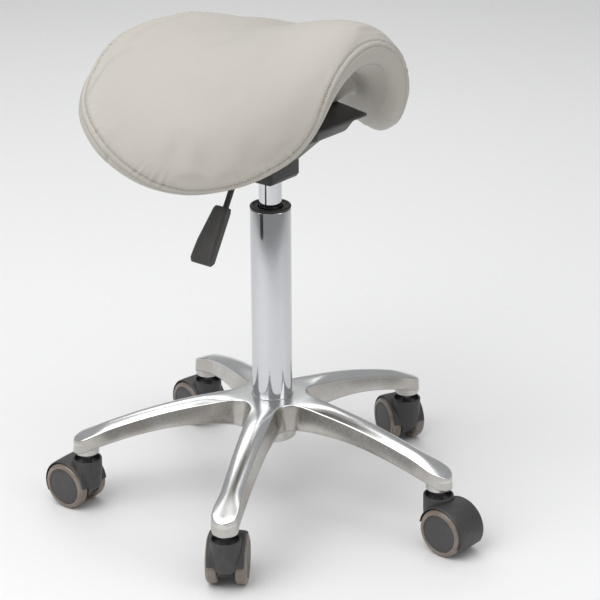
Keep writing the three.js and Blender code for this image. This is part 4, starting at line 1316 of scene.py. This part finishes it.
def swelling(grid, normals):
    """How far the simulated cover stands off the clean grid, in millimetres."""
    blank = cushion_blank()
    inflate(blank)
    mesh = blank.data
    mesh.calc_loop_triangles()
    triangles = [tuple(triangle.vertices) for triangle in mesh.loop_triangles]
    tree = BVHTree.FromPolygons([tuple(vertex.co) for vertex in mesh.vertices], triangles)
    bpy.data.objects.remove(blank)
    found = np.full(grid.shape[:2], np.nan)
    probe = 12 * MM
    for row in range(1, int((ROWS > -24).sum())):
        for column in range(0, AROUND, 3):
            start = Vector(grid[row, column]) * MM + AXIS
            outwards = Vector(normals[row, column])
            hit = tree.ray_cast(start + outwards * probe, -outwards, 2 * probe)[3]
            if hit is not None:
                found[row, column:column + 3] = (probe - hit) / MM
    found[0] = np.nanmean(found[1])
    typical = np.nanmedian(found)
    found = np.nan_to_num(found - typical)
    return blurred(np.clip(found, -SWELL_LIMIT / 2, SWELL_LIMIT), 1, 4)


# %% [markdown]
# The needlework comes after the swelling. A topstitched line follows the rim in a shallow valley,
# a finer join runs below it, and short puckers stand across the seam where the cover was gathered
# in. A single small fold marks where the border strip's ends overlap.
# %% Seams and puckers
PUCKERED, GATHERED = 1.1, 30.0
OVERLAP_SHARE, OVERLAP_LINE = 0.722, -6.0


def waves(places, lengths, seed):
    """A smooth irregular wave round the rim, made from whole numbers of waves."""
    made = np.zeros_like(places)
    picker = np.random.default_rng(seed)
    for length in lengths:
        count = max(1, round(RIM_LENGTH / length))
        shift = picker.uniform(0, 2 * math.pi)
        made += np.sin(places * count * 2 * math.pi + shift) * picker.uniform(0.6, 1)
    return made / math.sqrt(len(lengths))


def valley(distance, line, width):
    return np.exp(-((distance - line) / width) ** 2)


def seam_line_at(turns):
    """How far above the rim the topstitching runs, from the front of the seat round to its back."""
    folded = np.degrees(np.minimum(turns, 2 * math.pi - turns))
    return np.interp(folded, [0, 20, 35, 50, 62, 75, 90, 180], [9, 8, 11, 12, 9, 6, 7, 5])


SEAM = seam_line_at(TURNS)


def needlework():
    share = np.arange(AROUND) / AROUND
    below = ROWS[:, None] - SEAM
    gathered = np.clip(0.55 + 0.55 * waves(share, (210, 130, 90), 3), 0.1, 1.25)
    pucker = waves(share, (13, 11, 9.3, 8.1, 7.2), 5) * gathered
    fade = np.exp(-np.clip(below, 0, None) / 7.5) * np.exp(-np.clip(-below, 0, None) / 5.5)
    made = -0.95 * valley(below, 0, 1.7) - 0.6 * valley(below, JOIN_BELOW, 1.1)
    made = made + 0.6 * valley(below, JOIN_BELOW / 2, 3.0) + 0.5 * valley(below, 5, 4)
    made = made + PUCKERED * pucker * fade
    made = made + 0.5 * waves(share, (160, 95, 60), 11) * np.exp(-np.abs(below) / GATHERED)
    overlap = np.minimum(abs(share - OVERLAP_SHARE), 1 - abs(share - OVERLAP_SHARE)) * RIM_LENGTH
    made = made - 2.6 * np.exp(-(overlap / 2.4) ** 2) * valley(ROWS[:, None], OVERLAP_LINE, 7)
    return made * step(-34, -26, ROWS)[:, None]


def map_needlework(piece):
    """A UV map in millimetres: along the rim, and up from the topstitching."""
    mesh = piece.data
    corners_of = np.empty(len(mesh.loops), int)
    mesh.loops.foreach_get("vertex_index", corners_of)
    starts = np.empty(len(mesh.polygons), int)
    mesh.polygons.foreach_get("loop_start", starts)
    row, column = np.divmod(np.clip(corners_of - 1, 0, (len(ROWS) - 2) * AROUND - 1), AROUND)
    last = np.repeat(np.maximum.reduceat(column, starts), np.diff(starts, append=len(column)))
    wrapped = np.where(last - column > AROUND / 2, column + AROUND, column)
    along = wrapped * RIM_LENGTH / AROUND
    below = ROWS[row + 1] - SEAM[column]
    layer = mesh.uv_layers.new(name="needlework")
    layer.data.foreach_set("uv", np.stack([along, below], 1).astype(np.float32).ravel())


def seat_cushion():
    grid = seat_grid(TURNS, ROW_REACHES, ROW_HEIGHTS)
    normals = grid_normals(grid)
    swell = swelling(grid, normals) * step(-12, 26, ROWS)[:, None]
    total = swell + needlework()
    grid = grid + normals * total[..., None]
    rows = len(ROWS)
    crown, pocket = grid[0].mean(axis=0)[None], grid[-1].mean(axis=0)[None]
    points = np.concatenate([crown, grid[1:-1].reshape(-1, 3), pocket])
    faces = [tuple(1 + i for i in face) for face in ring_faces(rows - 2, AROUND)]
    last = len(points) - 1
    foot = 1 + (rows - 3) * AROUND
    faces += [(0, 1 + (i + 1) % AROUND, 1 + i) for i in range(AROUND)]
    faces += [(last, foot + i, foot + (i + 1) % AROUND) for i in range(AROUND)]
    made = make_piece("seat_cushion_cover", points, faces, COVER, sharp=math.radians(60), place=ON_AXIS)
    outward(made)
    map_needlework(made)
    keep(made, "seat", "leatherette", "seat_cushion")
    return grid, normals


cushion_grid, cushion_normals = seat_cushion()
print("cushion points:", cushion_grid.shape)

# %% [markdown]
# Stitches repeat hundreds of times along one line, which is what Geometry Nodes are for. The line
# carries the cover's normal as an attribute. The tree turns it into a curve, spaces points along
# it, and sets a small thread shape on each, pointing along the line and lying on the cover.
# %% The stitching tree
def stitching_tree():
    tree = bpy.data.node_groups.new("topstitching", "GeometryNodeTree")
    face = tree.interface
    face.new_socket("Geometry", in_out="INPUT", socket_type="NodeSocketGeometry")
    sizes = {}
    for name, value in (("Pitch", 0.0034), ("Stitch length", 0.0026), ("Thread radius", 0.00034)):
        socket = face.new_socket(name, in_out="INPUT", socket_type="NodeSocketFloat")
        socket.default_value = value
        sizes[name] = socket.identifier
    face.new_socket("Geometry", in_out="OUTPUT", socket_type="NodeSocketGeometry")

    def add(kind, links, **settings):
        made = tree.nodes.new(kind)
        for name, value in settings.items():
            setattr(made, name, value)
        for key, value in links.items():
            if isinstance(value, bpy.types.NodeSocket):
                tree.links.new(value, made.inputs[key])
            else:
                made.inputs[key].default_value = value
        return made

    start = add("NodeGroupInput", {})
    curve = add("GeometryNodeMeshToCurve", {"Mesh": start.outputs["Geometry"]})
    spaced = add("GeometryNodeResampleCurve",
                 {"Curve": curve.outputs[0], "Length": start.outputs["Pitch"]}, mode="LENGTH")
    ahead = add("GeometryNodeInputTangent", {})
    cover = add("GeometryNodeInputNamedAttribute", {"Name": "outward"}, data_type="FLOAT_VECTOR")
    along = add("FunctionNodeAlignRotationToVector", {"Vector": ahead.outputs[0]}, axis="X")
    lying = add("FunctionNodeAlignRotationToVector",
                {"Rotation": along.outputs[0], "Vector": cover.outputs[0]}, axis="Z", pivot_axis="X")
    thread_ball = add("GeometryNodeMeshUVSphere", {"Segments": 8, "Rings": 5, "Radius": 1.0})
    half_length = add("ShaderNodeMath", {0: start.outputs["Stitch length"], 1: 0.5}, operation="MULTIPLY")
    size = add("ShaderNodeCombineXYZ", {0: half_length.outputs[0], 1: start.outputs["Thread radius"],
                                        2: start.outputs["Thread radius"]})
    placed = add("GeometryNodeInstanceOnPoints", {
        "Points": spaced.outputs[0], "Instance": thread_ball.outputs[0],
        "Rotation": lying.outputs[0], "Scale": size.outputs[0]})
    real = add("GeometryNodeRealizeInstances", {"Geometry": placed.outputs[0]})
    coloured = add("GeometryNodeSetMaterial", {"Geometry": real.outputs[0], "Material": THREAD})
    add("NodeGroupOutput", {0: coloured.outputs[0]})
    return tree, sizes


STITCHING, STITCH_SIZES = stitching_tree()


def on_seam(field, below):
    """A grid's values on the line at a constant distance from the topstitching."""
    place = np.interp(-(SEAM + below), -ROWS, np.arange(len(ROWS)))
    low = place.astype(int)
    part = (place - low)[:, None]
    columns = np.arange(AROUND)
    return field[low, columns] * (1 - part) + field[low + 1, columns] * part


def seam_line(name, below, lift):
    """A closed chain of points on the cover, with the cover's normals."""
    normals = on_seam(cushion_normals, below)
    points = on_seam(cushion_grid, below) + normals * lift
    mesh = bpy.data.meshes.new(name)
    edges = [(i, (i + 1) % AROUND) for i in range(AROUND)]
    mesh.from_pydata((points * MM + np.array(AXIS)).tolist(), edges, [])
    outward_way = mesh.attributes.new("outward", "FLOAT_VECTOR", "POINT")
    outward_way.data.foreach_set("vector", normals.astype(np.float32).ravel())
    made = bpy.data.objects.new(name, mesh)
    bpy.context.scene.collection.objects.link(made)
    return made


def stitch(name, below, lift):
    made = seam_line(name, below, lift)
    modifier = made.modifiers.new("topstitching", "NODES")
    modifier.node_group = STITCHING
    modifier[STITCH_SIZES["Pitch"]] = STITCH_PITCH * MM
    settle(made)
    smooth(made, math.radians(80))
    keep(made, "seat", "leatherette")
    print(name, len(made.data.polygons), "faces")


stitch("topstitching", 0.0, 0.10)

# %% [markdown]
# ## Under the seat
# A lining covers the underside. It rolls in from the border, follows the shell, and swells down
# round the wooden wedge to the steel plate, with broad hollows on every side of it. The wedge's
# height is a blend between two surfaces, and the mask of the blend depends on the distance from the
# wedge.
# %% Lining
PLATE_FRONT, PLATE_FRONT_HEIGHT, PLATE_SLOPE = 101.0, 516.5, math.tan(math.radians(9))
WEDGE_FRONT, WEDGE_BACK, WEDGE_HALF_WIDTH = 56.5, -62.5, 60.5
SIDE_HOLLOW, FRONT_HOLLOW, BACK_HOLLOW = 40.0, 24.0, 40.0
LINING_REACH, LINING_HEIGHT, LINING_THICKNESS = 0.93, -20.5, 0.8


def plate_height(forward):
    return PLATE_FRONT_HEIGHT + PLATE_SLOPE * (PLATE_FRONT - forward)


def lining_height(reach):
    outer = under_height(reach) - LINING_THICKNESS - 0.1
    return LINING_HEIGHT + (outer - LINING_HEIGHT) * step(0.62, 0.80, reach)


def wedge_mask(points):
    side = np.clip((abs(points[..., 0]) - WEDGE_HALF_WIDTH) / SIDE_HOLLOW, 0, None)
    forward = -points[..., 1]
    front = np.clip((forward - WEDGE_FRONT) / FRONT_HOLLOW, 0, None)
    behind = np.clip((WEDGE_BACK - forward) / BACK_HOLLOW, 0, None)
    away = np.sqrt(side ** 2 + front ** 2 + behind ** 2)
    return (1 - np.clip(away, 0, 1)) ** 2 * (1 + 2 * np.clip(away, 0, 1))


def lining_sheet(reaches, turns, lift):
    grid = seat_grid(turns, reaches, lining_height(reaches))
    foot = plate_height(-grid[..., 1]) + 0.3
    drop = np.clip(grid[..., 2] - foot, 0, None)
    grid[..., 2] -= drop * wedge_mask(grid)
    grid[..., 2] += lift
    return grid


def seat_lining():
    count = 480
    turns, _ = even_turns(count)
    reaches = np.concatenate([np.linspace(0.012, 0.86, 68), np.linspace(0.87, LINING_REACH, 10)])
    lower = lining_sheet(reaches, turns, 0.0)
    upper = lining_sheet(reaches, turns, LINING_THICKNESS)
    rows = np.concatenate([lower, upper[::-1]])
    faces = ring_faces(len(rows), count) + end_faces(len(rows), count)
    made = make_piece("seat_lining", rows.reshape(-1, 3), faces, UNDERSIDE, sharp=math.radians(60),
                      place=ON_AXIS)
    outward(made)
    keep(made, "seat", "underside_cloth", "seat_under_cover")


seat_lining()


# %% [markdown]
# The plywood shell and its wedge stay as the CAD model has them, but the wedge's foot is shaved by
# two millimetres, which leaves room for the lining that wraps it.
# %% Shell
FOOT_BAND, FOOT_SHAVED = 3, 2.0


def seat_shell():
    made = softened("seat_shell", PLYWOOD, 0.3, segments=1, name="plywood_shell")
    for vertex in made.data.vertices:
        local = (vertex.co - AXIS) / MM
        foot = plate_height(-local.y)
        if local.z < foot + FOOT_BAND and abs(local.x) < WEDGE_HALF_WIDTH + 1:
            vertex.co.z += FOOT_SHAVED * MM
    keep(made, "seat", "moulded_shell", "seat_shell")


seat_shell()

# %% [markdown]
# ## Pieces that stay as the CAD model has them
# The bearings, stems and the like are hidden or barely seen. They keep their CAD shapes and only
# take a finish.
# %% Carried-over pieces
HIDDEN = {
    "guide_sleeve": BLACK_PLASTIC, "bearing_race_lower": STEEL, "bearing_ball_cage": STEEL,
    "bearing_race_upper": STEEL, "rubber_buffer": RUBBER, "piston_rod": STEEL, "retaining_clip": STEEL,
    "valve_pin": STEEL}
for k in CASTORS:
    HIDDEN[f"castor_stem_{k}"] = STEEL
    HIDDEN[f"castor_axle_{k}"] = STEEL
for node, material in HIDDEN.items():
    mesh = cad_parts[node].data
    mesh.materials.clear()
    mesh.materials.append(material)
print("carried over:", len(HIDDEN))

# %% [markdown]
# ## Floor and light
# The floor is a pale studio sweep, wide enough that the camera sees nothing else. Polished metal
# shows the room rather than itself, so the lights are large soft boxes with darker gaps between.
# %% Floor
def studio_floor():
    finish = Finish("studio_floor", Specular_IOR_Level=0.2)
    cloud = finish.noise(0.8, detail=3)
    speck = finish.noise(220, detail=2)
    colour = finish.mixed(cloud, (0.84, 0.84, 0.84), (0.87, 0.87, 0.87))
    finish.paint(colour=colour, roughness=0.55 + speck * 0.1)
    finish.bump(speck, 0.02 * MM)
    return finish.material


HALF_FLOOR = 9000
corners = [(-HALF_FLOOR, -HALF_FLOOR, 0), (HALF_FLOOR, -HALF_FLOOR, 0), (HALF_FLOOR, HALF_FLOOR, 0),
           (-HALF_FLOOR, HALF_FLOOR, 0)]
floor = make_piece("studio_floor", corners, [(0, 1, 2, 3)], studio_floor())


# %% [markdown]
# A soft box is an area light aimed at the middle of the stool. Its direction is given as for the
# camera, by azimuth and elevation.
# %% Lights
def softbox(name, azimuth, elevation, distance, size, power):
    data = bpy.data.lights.new(name, "AREA")
    data.shape = "RECTANGLE"
    data.size, data.size_y = size
    data.energy = power
    made = bpy.data.objects.new(name, data)
    turn, rise = math.radians(azimuth), math.radians(elevation)
    way = Vector((math.sin(turn) * math.cos(rise), -math.cos(turn) * math.cos(rise), math.sin(rise)))
    made.location = AXIS + Vector((0, 0, 0.35)) + way * distance
    made.rotation_euler = (-way).to_track_quat("-Z", "Y").to_euler()
    bpy.context.scene.collection.objects.link(made)


softbox("key", -100, 46, 3.0, (2.6, 2.6), 50)
softbox("fill", 8, 30, 3.4, (1.2, 2.2), 12)
softbox("overhead", -50, 82, 3.2, (4.4, 4.4), 74)
softbox("back", 140, 40, 3.4, (2.4, 1.4), 16)

world = bpy.data.worlds.new("studio")
world.use_nodes = True
world.node_tree.nodes["Background"].inputs["Color"].default_value = (0.95, 0.96, 0.97, 1)
world.node_tree.nodes["Background"].inputs["Strength"].default_value = 0.34
bpy.context.scene.world = world
bpy.context.scene.view_settings.view_transform = "Standard"
